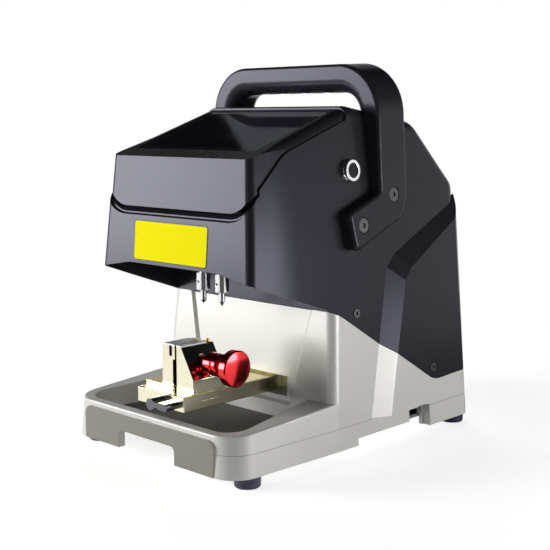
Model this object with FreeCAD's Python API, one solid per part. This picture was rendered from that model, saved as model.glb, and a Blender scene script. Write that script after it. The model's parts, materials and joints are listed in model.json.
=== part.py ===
import FreeCAD, Part
import math
import os

V = FreeCAD.Vector

# Key duplicating machine. Millimetres: X to the right, the front faces -Y, Z up, floor at Z = 0.

# Overall sizes
LENGTH = 326.2
BODY_HALF = 111.9           # half width of the column's side at SIDE_REF_Z
BODY_TOP_Z = 313.5          # rear end of the sloped screen face
HANDLE_RISE = 38.8          # the handle's top above the body
FOOT_HEIGHT = 10.0
SIDE_REF_Z = 50.0
SIDE_DRAFT = 0.085          # the sides lean in by this much per millimetre of height
BODY_CORNER_R = 16.0        # the body's rear corners

# Tray
PAD_T = 2.7                 # the raised pad on the tray's front wall
RIM_FRONT_Z = 45.7
RIM_RISE = 0.06             # the rim climbs towards the column
RIM_WIDTH = 6.5
RIM_EDGE_R = 1.8
TRAY_TAPER = 0.045          # the tray narrows towards the front
TRAY_FRONT_DRAFT = 0.06
TRAY_CORNER_R = 25.0
TRAY_FLOOR_Z = 30.0
TRAY_FLOOR_T = 3.0
POCKET_REAR_HALF = 82.0
POCKET_DRAFT = 3.0
PAD_MARGIN = 25.6           # from the body's half width to the pad's end
PAD_DROP = 4.9              # from the rim down to the pad's top
PAD_CORNER_R = 8.0
NOTCH_HALF = 37.7
NOTCH_TOP_Z = 26.0
NOTCH_CORNER_R = 5.0
BASE_WALL = 6.0
SKIRT_WALL = 4.5

# Column and the rear of the base
COLUMN_FRONT_Y = -36.2      # at COLUMN_REF_Z
COLUMN_REF_Z = 130.0
COLUMN_LEAN = 0.075
COLUMN_CORNER_R = 8.0
COLUMN_INNER_R = 4.0
COLUMN_WALL = 8.2           # thickness of the column's front wall
SEAM_FRONT_Z = 133.5
SEAM_SLOPE_Y = -25.0        # where the seam starts down the side
SEAM_SLOPE_Z = 128.6
SEAM_LOW_Y = 98.0
SEAM_LOW_Z = 52.5
SEAM_REAR_Z = 56.0
SEAM_BENDS = (20.0, 30.0)
SEAM_GAP = 0.3
PANEL_TOP_HALF = 77.0       # trapezoid recess on the column's front wall
PANEL_LOW_HALF = 57.0
PANEL_LOW_Z = 46.0
PANEL_DEPTH = 2.5
PANEL_SLANT = 3.0
STEP_FRONT_Y = -10.6        # the side's lower edge is raised behind the tray
STEP_REAR_Y = 66.0
STEP_TOP_Z = 16.5
LEG_NOTCH_WIDTH = 20.0
LEG_NOTCH_TOP_Z = 32.0
LEG_NOTCH_DEPTH = 14.0
LEG_NOTCH_R = 6.0

# Bulge at the rear of each side: (y, z) corners of its front and top, on the side and on its own face
BULGE_OUT = 8.0
BULGE_BOTTOM_Z = 31.0
BULGE_ROOT = ((2.4, BULGE_BOTTOM_Z), (37.1, 171.0), (51.0, 183.0), (200.0, 245.0))
BULGE_CREST = ((29.0, BULGE_BOTTOM_Z), (60.5, 153.0), (71.0, 164.0), (200.0, 235.0))
LEG_FRONT_Y = 88.0

# Head and cover
COVER_WALL = 3.0
HEAD_FRONT_Y = -131.0       # at LIP_Z
LIP_Z = 166.0
HEAD_LEAN = 0.07
HEAD_TAPER = 0.114          # the head's sides close in towards the front
HEAD_CREASE_SET = 36.0      # over this length
HEAD_CREASE_SHARE = 0.5     # and turn in a curve over this share of it, and as much behind it
HEAD_CORNER_R = 6.5
HEAD_FLOOR_Z = 178.0
LIP_ARCH = 7.0              # the front lip is arched up in the middle
LIP_ARCH_R = 50.0
LIP_RISE = 7.0              # the cover's lower edge behind the lip climbs to meet the column
TOP_FRONT_SET = 12.4        # the screen face starts this far behind the head's front
TOP_FRONT_Z = 271.5
TOP_REAR_Y = 1.0
HUMP_SET = 65.6             # the top's rear bends, from the rear wall and from the body's top
HUMP_DROP = 14.5
TAIL_SET = 3.0
TAIL_Z = 237.0
TAIL_FALL = 60.0            # the tail's slope runs on this far down, behind the rear wall
TAIL_RUN = 10.0
TOP_BENDS = (15.0, 30.0, 20.0)
TOP_EDGE_R = 10.0
INNER_R = 3.0               # least radius of an inner corner or edge

# Screen housing
HOUSING_INSET = 1.2
HOUSING_WALL = 8.0
HOUSING_BOTTOM_Z = 223.8
HOUSING_CORNER_R = 28.0
HOUSING_FLARE = 0.1         # the housing's front widens upwards
HOUSING_FRONT_T = 14.0      # depth of its front, from the head's front
HOUSING_SIDE_Z = 245.5
HOUSING_KNEE_SET = 45.0     # where its side edge bends to run along the top
HOUSING_KNEE_DROP = 8.6
HOUSING_KNEE_R = 40.0
HOUSING_REAR_Y = -5.0
HOUSING_REAR_DROP = 8.6
HOUSING_EDGE_R = (1.5, 9.0)  # rounding of its top's side edges, at the front corner and farther back
HOUSING_EDGE_RUN = 42.0     # the length over which the rounding grows
SEAT_GAP = 0.4
SEAT_GROOVE = 1.7           # the visible groove round the housing
SEAT_GROOVE_DEPTH = 2.2
SHOULDER_FLARE = 0.55       # slope of the cover's rim in front of the screen housing
SEAT_OPENING = (60.0, -112.0, -20.0)  # half width, front and rear of the opening under the screen
GLASS_SIDE_MARGIN = 11.0
GLASS_FRONT_MARGIN = 13.0
GLASS_REAR_MARGIN = 7.0
GLASS_SINK = 0.6
GLASS_T = 3.0
GLASS_GAP = 0.2
GLASS_CORNER_R = 4.0
DISPLAY_MARGIN = 18.5
DISPLAY_T = 4.0

# Carrying handle
HANDLE_OUT = 12.0           # how far the legs stand out of the body's sides
HANDLE_BAR_T = 26.5
HANDLE_FRONT_Y = 25.5       # at the foot plates
HANDLE_TILT = 5.5           # the bow leans forward by this much at its top
HANDLE_DEPTH = 39.5
HANDLE_BEND_R = 33.0
HANDLE_EDGE_R = 3.0
HANDLE_GRIP_R = 13.0        # rounding of the edges on the hand's side
HANDLE_LEG_Z = 236.0        # lower end of the bow's legs
HANDLE_CLOSE_IN = 2.0       # the legs close in by this much at the top
HANDLE_FOOT_R = 3.5
HANDLE_FOOT_TOP_Z = 262.0
HANDLE_TOE = ((-20.0, 219.5, 6.0), (-12.5, 184.0, 6.0), (55.0, 211.0, 14.0))  # y, z, radius of its corners
HANDLE_HEEL_Z = 230.0
HANDLE_HEEL_R = 10.0
HANDLE_INSTEP_R = 8.0
HANDLE_GAP = 0.2
GRIP_COUNT = 5              # finger hollows under the bow, with rounded lumps between them
GRIP_PITCH = 29.0
GRIP_DEPTH = 7.0            # of the zigzag before its corners are rounded
GRIP_LUMP_R = 18.0
GRIP_HOLLOW_R = 4.0
GRIP_END = 8.0              # the outer hollows run out over this length
HANDLE_SCREWS = ((-0.6, 207.3), (45.0, 232.4))
HANDLE_HEAD_R = 6.6
HANDLE_HEAD_FIT = 0.5
HANDLE_HEAD_T = 3.0
HANDLE_HEAD_SINK = 0.4
HANDLE_SHANK_R = 2.5
HANDLE_SHANK_L = 8.0
HANDLE_SOCKET_R = 2.4

# Screws, button and inlet
COVER_SCREWS = ((-3.5, 129.0, 0.0), (97.0, 65.0, BULGE_OUT))  # y, z and how far out the side is
COVER_HEAD_R = 4.2
COVER_HEAD_T = 1.6
COVER_HEAD_RAISE = 0.6
COVER_SHANK_R = 1.5
COVER_SHANK_L = 4.0
COVER_SOCKET_R = 1.9
SOCKET_DEPTH = 1.2
SCREW_FIT = 0.03
HEAD_FIT = 0.12
BUTTON_YZ = (-4.0, 256.2)
BUTTON_FLANGE_R = 10.7
BUTTON_FLANGE_T = 3.0
BUTTON_RING_R = 10.0
BUTTON_RING_T = 2.8         # the ring in front of the flange
BUTTON_CHAMFER = 0.5
BUTTON_BARREL_R = 8.9
BUTTON_BARREL_L = 18.0
BUTTON_FLOOR = 8.0
BUTTON_CAP_R = 6.4
BUTTON_CAP_SINK = 0.8
BUTTON_TRAVEL = 1.5
BUTTON_NUT_R = 11.5
BUTTON_NUT_T = 3.0
INLET_X = 62.0
INLET_Z = 40.0
INLET_R = 5.5
INLET_L = 14.0
INLET_WALL = 2.0
INLET_SINK = 0.6
INLET_PIN_R = 1.0

# Feet
FOOT_R = 11.8
FOOT_TAPER = 0.6
FOOT_CHAMFER = 1.0
FOOT_BOSS_R = 6.0
FRONT_FOOT_SET = (12.9, 26.9)   # from the body's half width and from the front
REAR_FOOT_SET = (4.6, 16.3)     # from the body's half width and from the rear
FOOT_SCREW_R = 2.0
FOOT_SCREW_BITE = 5.5
FOOT_HEAD_R = 4.0
FOOT_HEAD_GAP = 0.4

# Bottom plate and the sideways axis
PLATE_Z = 17.0
PLATE_T = 3.0
PLATE_GAP = 0.25
PLATE_LEDGE = 2.0           # how far the plate's seat is cut into the base's wall
PLATE_CORNER_R = 5.0
VENT_COUNT = 7
VENT_PITCH = 18.0
VENT_HALF = 4.0
VENT_Y = (60.0, 110.0)
X_TRAVEL = 20.0
VISE_X = 4.6                # the vise's middle at rest
X_ROD_R = 4.0
X_ROD_DROP = 10.2           # the rods' axes below the vise bar
X_ROD_YS = (-15.0, 11.0)
X_SCREW_Y = -2.0
X_SCREW_R = 4.0
X_BLOCK_SET = 37.9          # from the body's half width in to the end blocks
X_BLOCK_T = 6.0
X_BLOCK_H = 14.0            # the blocks' height above the rods
CARRIAGE_SIDE = 14.0        # the carriage beside the bar
CARRIAGE_OVER = 7.6         # and above it
CARRIAGE_REAR_Y = 22.0
CARRIAGE_DEPTH = 18.2       # and below it
CARRIAGE_SET = 2.0          # between the column's inner wall and the carriage
SHIELD_T = 1.5
SHIELD_LAP = 6.0
RUN_FIT = 0.05              # radial clearance of a running fit
SEAT_FIT = 0.02             # radial clearance of a seated rod or ring
SLIDE_GAP = 0.3             # clearance between flat sliding faces
FACE_GAP = 0.1              # clearance between parts that are screwed face to face
MOTOR_SIDE = 42.0
MOTOR_CORNER = 5.0
X_MOTOR_L = 22.0
NUT_R = 7.0
NUT_L = 16.0

# Vise and the front-to-back axis
BAR_HALF = 31.0
BAR_OVER_RIM = 6.5          # the bar's underside above the tray's rim
BAR_T = 14.2
BAR_CHAMFER = 0.7
BAR_FRONT_Y = -149.4
BAR_REAR_Y = 25.0
BAR_GROOVE = 0.8
BAR_GROOVE_YS = (-147.6, -80.0)
BAR_MARK = (-127.3, -108.2)  # ends of the scored line on the bar's right side
Y_BACK = 40.0
Y_SCREW_R = 3.0
Y_NUT_R = 5.0
Y_NUT_L = 10.0
Y_MOTOR_SIDE = 35.0
Y_MOTOR_L = 26.0
BRACKET_T = 4.0
BRACKET_ARM_GAP = 2.0
BRACKET_ROOM = 13.0         # behind the bar at its rear limit
BRACKET_CUT = 3.0
WINDOW_GAP = 2.0
JAW_FRONT_Y = -138.0
JAW_LENGTH = 38.0
JAW_H = 39.2                # the jaws' tops above the bar
JAW_CHAMFER = 0.4
JAW_SLIT = 1.9
FIXED_JAW_W = 16.6
FIXED_JAW_BACK = 2.7        # the fixed jaw's face stands back below its lip
JAW_LIP_W = 3.6
JAW_LIP_H = 12.0
JAW_SLOT_W = 3.7
JAW_SLOT_DEPTH = 9.3
MOVING_JAW_TOP_W = 6.6
MOVING_JAW_LOW_W = 22.2
JAW_KNEE_DROP = 26.9        # where the moving jaw's slope ends, below its top
GUIDE_H = 4.8
GUIDE_FRONT_Y = -140.5
GUIDE_INSET = 1.0
JAW_PLATE_T = 1.2
FIXED_PLATE_INSET = 1.0
JAW_PLATE_SHORT = 8.0       # the plates end ahead of the jaws' rear, which leaves room for the stop pin
STOP_PIN_R = 1.6
STOP_PIN_H = 3.0
STOP_PIN_IN = (2.4, 4.0)    # from the plate's right edge and from the jaw's rear
CLAMP_DROP = 14.1           # the clamp's axis below the jaws' tops
CLAMP_R = 4.0
CLAMP_TAIL = 4.0
CLAMP_BITE = 12.0
KNOB_HUB_R = 5.5
KNOB_SEAT_R = 6.6
KNOB_SEAT_SINK = 0.6        # the seat's floor below the slope at the seat's upper edge
KNOB_GAP = 0.8              # from the moving jaw's side to the knob's collar
KNOB_COLLAR_R = 10.2
KNOB_COLLAR_L = 9.2
KNOB_GROOVE_R = 8.4
KNOB_GROOVE_L = 1.6
KNOB_BEAD_L = 5.0
KNOB_NECK_R = 6.2
KNOB_DISC_R = 16.0
KNOB_DISC_T = 8.2
KNOB_LENGTH = 34.3          # from the collar's face to the knob's end
KNOB_EDGE = 1.0
KNOB_DOME = 1.4
GAUGE_X = 12.0
GAUGE_HALF = 13.6
GAUGE_DEPTH = 11.0
GAUGE_DROP = 2.6            # its middle line below the bar's middle
GAUGE_LOBE_R = 5.3
GAUGE_BEAM_HALF = 3.1
GAUGE_END_R = 2.4
GAUGE_ARCH_R = 2.3
GAUGE_ARCH_X = 8.0          # from the lobe's middle

# Vertical axis and spindles
SPINDLE_Y = -81.6
SPINDLE_GAP_X = 24.6
CHUCK_R = 6.4
CHUCK_LOW_Z = 147.0
CHUCK_TOP_Z = 163.0
CHUCK_CHAMFER = 0.6
CHUCK_ROOF = 3.0
GRUB_R = 1.5
GRUB_RISE = 7.5
GRUB_SINK = 0.8
BIT_R = 2.9
BIT_TIP_Z = 134.2
BIT_CONE = 2.6
FLUTE_R = 1.2
FLUTE_L = 6.0
PROBE_TIP_R = 0.5
PROBE_TIP_H = 0.4
PROBE_CONE = 4.5
SHAFT_R = 4.0
SHAFT_CLEAR = 1.0
HOUSING_R = 11.8
TRACER_R = 10.0
TRACER_STEM_R = 5.0
TRACER_TRAVEL = 2.0
TRACER_STEM_DROP = 12.0     # the stem's top below the arm
SPINDLE_ROOM = 2.5
NOSE_LOW_Z = 166.0
ARM_Z = 210.0
ARM_T = 12.0
ARM_HALF = 40.0
ARM_FRONT_Y = -100.0
ARM_CORNER_R = 10.0
BOSS_HALF = 58.0
BOSS_FRONT_Y = -34.0
BOSS_REAR_Y = -5.0
BOSS_TOP_Z = 250.0
Z_ROD_R = 5.0
Z_ROD_X = 42.0
Z_ROD_Y = -18.0
Z_SCREW_R = 4.0
LUG_Z = 150.0
LUG_T = 10.0
FRAME_TOP_DROP = 7.5        # the frame's top lug below the lower end of the screen face
FRAME_TOP_T = 8.0
FRAME_TOP_FRONT_Y = -42.0
FRAME_WINDOW_HALF = 24.0
FRAME_WINDOW_LOW = 8.0      # margins of the upright's window to the lugs
FRAME_WINDOW_HIGH = 14.0
FRAME_RIB_Z = 220.0
FRAME_RIB_REAR = 6.0
UPRIGHT_Y = 0.0
UPRIGHT_T = 10.0
UPRIGHT_HALF = 60.0
CHEEK_IN = 66.0
CHEEK_T = 8.0
CHEEK_FRONT_Y = 30.0
CHEEK_REAR_Y = 70.0
DECK_Z = 110.0
DECK_T = 8.0
BEARING_R = 9.5
BEARING_T = 6.0
BEARING_SET = 3.0
SPINDLE_MOTOR_R = 11.8
SPINDLE_MOTOR_L = 36.0
Z_MOTOR_L = 18.0

# Control board
BOARD_HALF = 50.0
BOARD_LENGTH = 72.0
BOARD_SET = 15.0            # from the rear wall
BOARD_T = 1.6
BOARD_RISE = 6.0
BOARD_POST_R = 3.0
BOARD_POST_IN = 6.0
CHIP = (20.0, 3.0)          # side and height of the controller chip
HEAT_SINK = (14.0, 42.0, 9.0)
CAPACITOR = (4.0, 9.0, 11.0)  # radius, height and pitch

# Values worked out from the driving dimensions
FAR = 400.0
FRONT_Y = -LENGTH / 2
REAR_Y = LENGTH / 2
RIM_FRONT_Y = FRONT_Y + PAD_T
Z_LOW = FOOT_HEIGHT
Z_HIGH = BODY_TOP_Z + 20.0
REAR_CORNER_R = BODY_CORNER_R + BULGE_OUT
HEAD_CREASE_Y = HEAD_FRONT_Y + HEAD_CREASE_SET
COLUMN_INNER_Y = COLUMN_FRONT_Y + COLUMN_WALL
TOP_FRONT_Y = HEAD_FRONT_Y + TOP_FRONT_SET
HUMP_Y = REAR_Y - HUMP_SET
HUMP_Z = BODY_TOP_Z - HUMP_DROP
TAIL_Y = REAR_Y - TAIL_SET
HOUSING_DEPTH_Y = HEAD_FRONT_Y + HOUSING_FRONT_T
HOUSING_KNEE_Y = HEAD_FRONT_Y + HOUSING_KNEE_SET
HANDLE_TOP_Z = BODY_TOP_Z + HANDLE_RISE
FRONT_FOOT = (BODY_HALF - FRONT_FOOT_SET[0], FRONT_Y + FRONT_FOOT_SET[1])
REAR_FOOT = (BODY_HALF - REAR_FOOT_SET[0], REAR_Y - REAR_FOOT_SET[1])
PLATE_TOP_Z = PLATE_Z + PLATE_T
BAR_BOTTOM_Z = RIM_FRONT_Z + BAR_OVER_RIM
BAR_TOP_Z = BAR_BOTTOM_Z + BAR_T
BAR_MID_Z = (BAR_BOTTOM_Z + BAR_TOP_Z) / 2
X_ROD_Z = BAR_BOTTOM_Z - X_ROD_DROP
X_BLOCK_IN = BODY_HALF - X_BLOCK_SET
CARRIAGE_FRONT_Y = COLUMN_INNER_Y + CARRIAGE_SET
BRACKET_PLATE_Y = BAR_REAR_Y + Y_BACK + BRACKET_ROOM
WINDOW_HALF = BAR_HALF + X_TRAVEL + WINDOW_GAP
WINDOW_LOW_Z = BAR_BOTTOM_Z - WINDOW_GAP
WINDOW_TOP_Z = BAR_TOP_Z + WINDOW_GAP
SHIELD_HALF = WINDOW_HALF + X_TRAVEL + WINDOW_GAP
JAW_TOP_Z = BAR_TOP_Z + JAW_H
JAW_REAR_Y = JAW_FRONT_Y + JAW_LENGTH
MOVING_JAW_RIGHT = VISE_X + BAR_HALF
MOVING_JAW_LEFT = MOVING_JAW_RIGHT - MOVING_JAW_LOW_W
FIXED_JAW_RIGHT = MOVING_JAW_LEFT - JAW_SLIT
FIXED_JAW_LEFT = FIXED_JAW_RIGHT - FIXED_JAW_W
CLAMP_Z = JAW_TOP_Z - CLAMP_DROP
CLAMP_Y = JAW_FRONT_Y + JAW_LENGTH / 2
CUTTER_X = -SPINDLE_GAP_X / 2
PROBE_X = SPINDLE_GAP_X / 2
FRAME_TOP_Z = TOP_FRONT_Z - FRAME_TOP_DROP
DECK_TOP_Z = DECK_Z + DECK_T
ROD_TOP_Z = FRAME_TOP_Z + FRAME_TOP_T
SEAM_LINE = ((HEAD_FRONT_Y - 20.0, SEAM_FRONT_Z), (COLUMN_FRONT_Y, SEAM_FRONT_Z),
             (SEAM_SLOPE_Y, SEAM_SLOPE_Z, SEAM_BENDS[0]), (SEAM_LOW_Y, SEAM_LOW_Z, SEAM_BENDS[1]),
             (REAR_Y + 20.0, SEAM_REAR_Z))
COVER_LINE = ((HEAD_FRONT_Y - 20.0, LIP_Z + LIP_RISE), (COLUMN_FRONT_Y, SEAM_FRONT_Z)) + SEAM_LINE[2:]


def on_plane(plane, u, v, w):
    """A point from its two coordinates on a plane and its distance along the plane's normal."""
    return {"xy": V(u, v, w), "xz": V(u, w, v), "yz": V(w, u, v)}[plane]


def normal(plane):
    return {"xy": V(0, 0, 1), "xz": V(0, 1, 0), "yz": V(1, 0, 0)}[plane]


def rounded_wire(corners):
    """A closed wire through 3-D corners (point, radius), each rounded by an arc of its radius."""
    count = len(corners)
    spans = []
    for i, (point, radius) in enumerate(corners):
        to_last = (corners[i - 1][0] - point).normalize()
        to_next = (corners[(i + 1) % count][0] - point).normalize()
        if radius <= 0:
            spans.append((point, None, point))
            continue
        half = to_last.getAngle(to_next) / 2
        reach = radius / math.tan(half)
        bisector = (to_last + to_next).normalize()
        middle = point + bisector * (radius / math.sin(half) - radius)
        spans.append((point + to_last * reach, middle, point + to_next * reach))
    edges = []
    for i, (start, middle, end) in enumerate(spans):
        if middle is not None:
            edges.append(Part.Arc(start, middle, end).toShape())
        following = spans[(i + 1) % count][0]
        if end.distanceToPoint(following) > 1e-6:
            edges.append(Part.LineSegment(end, following).toShape())
    return Part.Wire(edges)


def outline(plane, points, w):
    """A closed wire on a plane through (u, v) or (u, v, radius) corners."""
    return rounded_wire([(on_plane(plane, p[0], p[1], w), p[2] if len(p) > 2 else 0.0) for p in points])


def prism(plane, points, w0, w1):
    return Part.Face(outline(plane, points, w0)).extrude(normal(plane) * (w1 - w0))


def box(x0, x1, y0, y1, z0, z1):
    return Part.makeBox(x1 - x0, y1 - y0, z1 - z0, V(x0, y0, z0))


def rod(axis, point, radius, start, end):
    """A cylinder along an axis, "x", "y" or "z", through a point, from start to end."""
    direction = {"x": V(1, 0, 0), "y": V(0, 1, 0), "z": V(0, 0, 1)}[axis]
    foot = V(*point) - direction * V(*point).dot(direction) + direction * start
    return Part.makeCylinder(radius, end - start, foot, direction)


def turned(axis, point, profile):
    """A solid of revolution from (distance along the axis, radius) corners."""
    direction = {"x": V(1, 0, 0), "y": V(0, 1, 0), "z": V(0, 0, 1)}[axis]
    across = V(0, 0, 1) if axis != "z" else V(1, 0, 0)
    corners = [(V(*point) + direction * a + across * r, 0.0) for a, r in profile]
    return Part.Face(rounded_wire(corners)).revolve(V(*point), direction, 360)


def fuse(shapes):
    return shapes[0].multiFuse(shapes[1:]).removeSplitter()


def mirrored(shape):
    return shape.mirror(V(0, 0, 0), V(1, 0, 0))


def both_sides(shape):
    return [shape, mirrored(shape)]


def above(line, margin=0.0):
    """The space above a side-view line, given from front to rear."""
    points = [(p[0], p[1] + margin) + tuple(p[2:]) for p in line]
    return prism("yz", points + [(line[-1][0], FAR), (line[0][0], FAR)], -FAR, FAR)


def save(name, *shapes):
    shape = shapes[0] if len(shapes) == 1 else Part.Compound(list(shapes))
    shape.exportStep("parts/%s.step" % name)
    print("%-22s %d solid(s) %10.0f mm3" % (name, len(shape.Solids), sum(s.Volume for s in shape.Solids)))


def side_x(z, out=0.0):
    """Half width of the leaning side at a height."""
    return BODY_HALF + out - SIDE_DRAFT * (z - SIDE_REF_Z)


def column_y(z):
    return COLUMN_FRONT_Y - COLUMN_LEAN * (COLUMN_REF_Z - z)


def rim_z(y):
    return RIM_FRONT_Z + RIM_RISE * (y - RIM_FRONT_Y)


def top_z(y):
    """Height of the sloped screen face."""
    return TOP_FRONT_Z + (y - TOP_FRONT_Y) * (BODY_TOP_Z - TOP_FRONT_Z) / (TOP_REAR_Y - TOP_FRONT_Y)


def plan_loft(plan, low, high):
    """A drafted solid between the plans of two heights, each a list of right-hand corners, front first."""
    wires = []
    for z in (low, high):
        right = plan(z)
        left = [(-x, y, r) for x, y, r in reversed(right)]
        wires.append(outline("xy", right + left, z))
    return Part.makeLoft(wires, True, True)


def on_side(y, z, out=0.0):
    """A placement whose Z axis is the outward normal of the right side at (y, z)."""
    lean = FreeCAD.Rotation(V(0, 0, 1), V(1, 0, SIDE_DRAFT))
    return FreeCAD.Placement(V(side_x(z, out), y, z), lean)


def side_cylinder(place, radius, start, end):
    """A cylinder along a side's normal, with distances measured out of the side."""
    shape = Part.makeCylinder(radius, end - start, V(0, 0, start))
    shape.Placement = place
    return shape


# Body envelope


def head_block(inset, corner):
    """The body above the seam, without the bulges: a block with sharp top edges and rounded front corners."""
    def plan(z):
        front = HEAD_FRONT_Y + HEAD_LEAN * (z - LIP_Z) + inset
        wide = side_x(z) - inset
        length = HEAD_CREASE_Y - front
        narrow = wide - HEAD_TAPER * length
        crease = HEAD_CREASE_SHARE * length / math.tan(math.atan(HEAD_TAPER) / 2)
        return [(narrow, front, corner), (wide, HEAD_CREASE_Y, crease),
                (wide, REAR_Y - inset, max(BODY_CORNER_R - inset, INNER_R))]

    block = plan_loft(plan, Z_LOW, Z_HIGH)
    start = HEAD_FRONT_Y - 30.0
    end = REAR_Y + TAIL_RUN
    profile = [(start, 0.0), (start, top_z(start) - inset), (TOP_REAR_Y, BODY_TOP_Z - inset, TOP_BENDS[0]),
               (HUMP_Y, HUMP_Z - inset, TOP_BENDS[1]), (TAIL_Y - inset, TAIL_Z - inset, TOP_BENDS[2]),
               (end, TAIL_Z - TAIL_FALL), (end, 0.0)]
    return block.common(prism("yz", profile, -FAR, FAR)).Solids[0]


def head_core(inset):
    """The same block with its top edges rounded all round, and wider front corners to suit."""
    radius = TOP_EDGE_R - min(max(inset, 0.0), INNER_R)
    core = head_block(inset, radius + 1.0)
    return core.makeFillet(radius, [edge for edge in core.Edges if is_top_edge(edge)])


def is_top_edge(edge):
    """True for an edge of the loop where the walls meet the top."""
    middle = edge.valueAt((edge.FirstParameter + edge.LastParameter) / 2)
    ends = [vertex.Point for vertex in edge.Vertexes]
    upright = abs(ends[0].z - ends[-1].z) > LIP_Z - Z_LOW
    across = abs(middle.x) < 1.0 and TOP_FRONT_Y < middle.y < (TAIL_Y + REAR_Y) / 2
    return middle.z > TAIL_Z - TAIL_FALL and not upright and not across


def bulge(inset):
    """The right-hand bulge: a raised panel with a slanted front wall and a slanted upper band."""
    low = BULGE_BOTTOM_Z + inset
    end = BULGE_ROOT[-1][0]
    leg = [(end, Z_LOW), (LEG_FRONT_Y, Z_LOW), (LEG_FRONT_Y, low)] if inset == 0 else [(end, low)]
    wires = []
    for line, out in ((BULGE_ROOT, -COVER_WALL), (BULGE_CREST, BULGE_OUT - inset)):
        (y0, _), (y1, z1), (y2, z2), (y3, z3) = line
        points = [(y0 + inset, low), (y1 + inset, z1), (y2 + inset, z2 - inset), (y3, z3 - inset)] + leg
        wires.append(rounded_wire([(V(side_x(z, out), y, z), 0.0) for y, z in points]))
    solid = Part.makeLoft(wires, True, True)

    def plan(z):
        wide = side_x(z, BULGE_OUT + 1.0)
        return [(wide, SEAM_SLOPE_Y, 0.0), (wide, REAR_Y - inset, REAR_CORNER_R)]

    return solid.common(plan_loft(plan, 0.0, Z_HIGH))


def column_block(inset, low, high):
    def plan(z):
        wide = side_x(z) - inset
        front = column_y(z) if inset == 0 else COLUMN_INNER_Y
        corner = COLUMN_CORNER_R if inset == 0 else COLUMN_INNER_R
        return [(wide, front, corner), (wide, REAR_Y - inset, BODY_CORNER_R - inset)]

    return plan_loft(plan, low, high)


# Base casting, feet and bottom plate


def tray_block():
    def plan(z):
        front = RIM_FRONT_Y - TRAY_FRONT_DRAFT * (RIM_FRONT_Z - z)
        wide = side_x(z)
        narrow = wide - TRAY_TAPER * (COLUMN_FRONT_Y - front)
        return [(narrow, front, TRAY_CORNER_R), (wide, COLUMN_FRONT_Y, 0.0), (wide, 0.0, 0.0)]

    high = rim_z(0.0) + 10.0
    block = plan_loft(plan, Z_LOW, high)
    block = block.cut(above([(FRONT_Y - 20.0, rim_z(FRONT_Y - 20.0)), (10.0, rim_z(10.0))]))
    rim = [edge for edge in block.Edges if is_rim_edge(edge)]
    return block.makeFillet(RIM_EDGE_R, rim)


def is_rim_edge(edge):
    """True for an edge of the tray's upper outer rim, in front of the column."""
    first, span = edge.FirstParameter, edge.LastParameter - edge.FirstParameter
    points = [edge.valueAt(first + t * span) for t in (0.1, 0.5, 0.9)]
    on_rim = all(abs(p.z - rim_z(p.y)) < 0.01 for p in points)
    return on_rim and all(p.y < COLUMN_FRONT_Y + 1.0 for p in points)


def tray_pocket():
    def plan(z):
        draw_in = POCKET_DRAFT * (rim_z(COLUMN_FRONT_Y) - z) / (rim_z(COLUMN_FRONT_Y) - TRAY_FLOOR_Z)
        front = RIM_FRONT_Y + RIM_WIDTH + draw_in
        front_half = side_x(RIM_FRONT_Z) - TRAY_TAPER * (COLUMN_FRONT_Y - front) - RIM_WIDTH - draw_in
        rear_half = POCKET_REAR_HALF - draw_in
        return [(front_half, front, TRAY_CORNER_R - RIM_WIDTH), (rear_half, column_y(z), 0.0)]

    return plan_loft(plan, TRAY_FLOOR_Z, rim_z(0.0) + 10.0)


def front_pad():
    half = BODY_HALF - PAD_MARGIN
    top = RIM_FRONT_Z - PAD_DROP
    points = [(-half, Z_LOW), (-half, top, PAD_CORNER_R), (half, top, PAD_CORNER_R), (half, Z_LOW)]
    return prism("xz", points, FRONT_Y, RIM_FRONT_Y + 2.0)


def wall_panel_recess():
    """The shallow trapezoid on the column's front wall, with slanted edges."""
    wires = []
    over = 30.0
    top_half = PANEL_TOP_HALF + over * (PANEL_TOP_HALF - PANEL_LOW_HALF) / (SEAM_FRONT_Z - PANEL_LOW_Z)
    reach = 6.0
    for depth, grow in ((PANEL_DEPTH, 0.0), (-reach, PANEL_SLANT * (PANEL_DEPTH + reach) / PANEL_DEPTH)):
        low, high = PANEL_LOW_Z - grow, SEAM_FRONT_Z + over
        corners = []
        for x, z in ((-PANEL_LOW_HALF - grow, low), (-top_half - grow, high), (top_half + grow, high),
                     (PANEL_LOW_HALF + grow, low)):
            corners.append((V(x, column_y(z) + depth, z), 0.0))
        wires.append(rounded_wire(corners))
    return Part.makeLoft(wires, True, True)


def foot_places():
    for x, y in (FRONT_FOOT, REAR_FOOT):
        yield x, y
        yield -x, y


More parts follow.
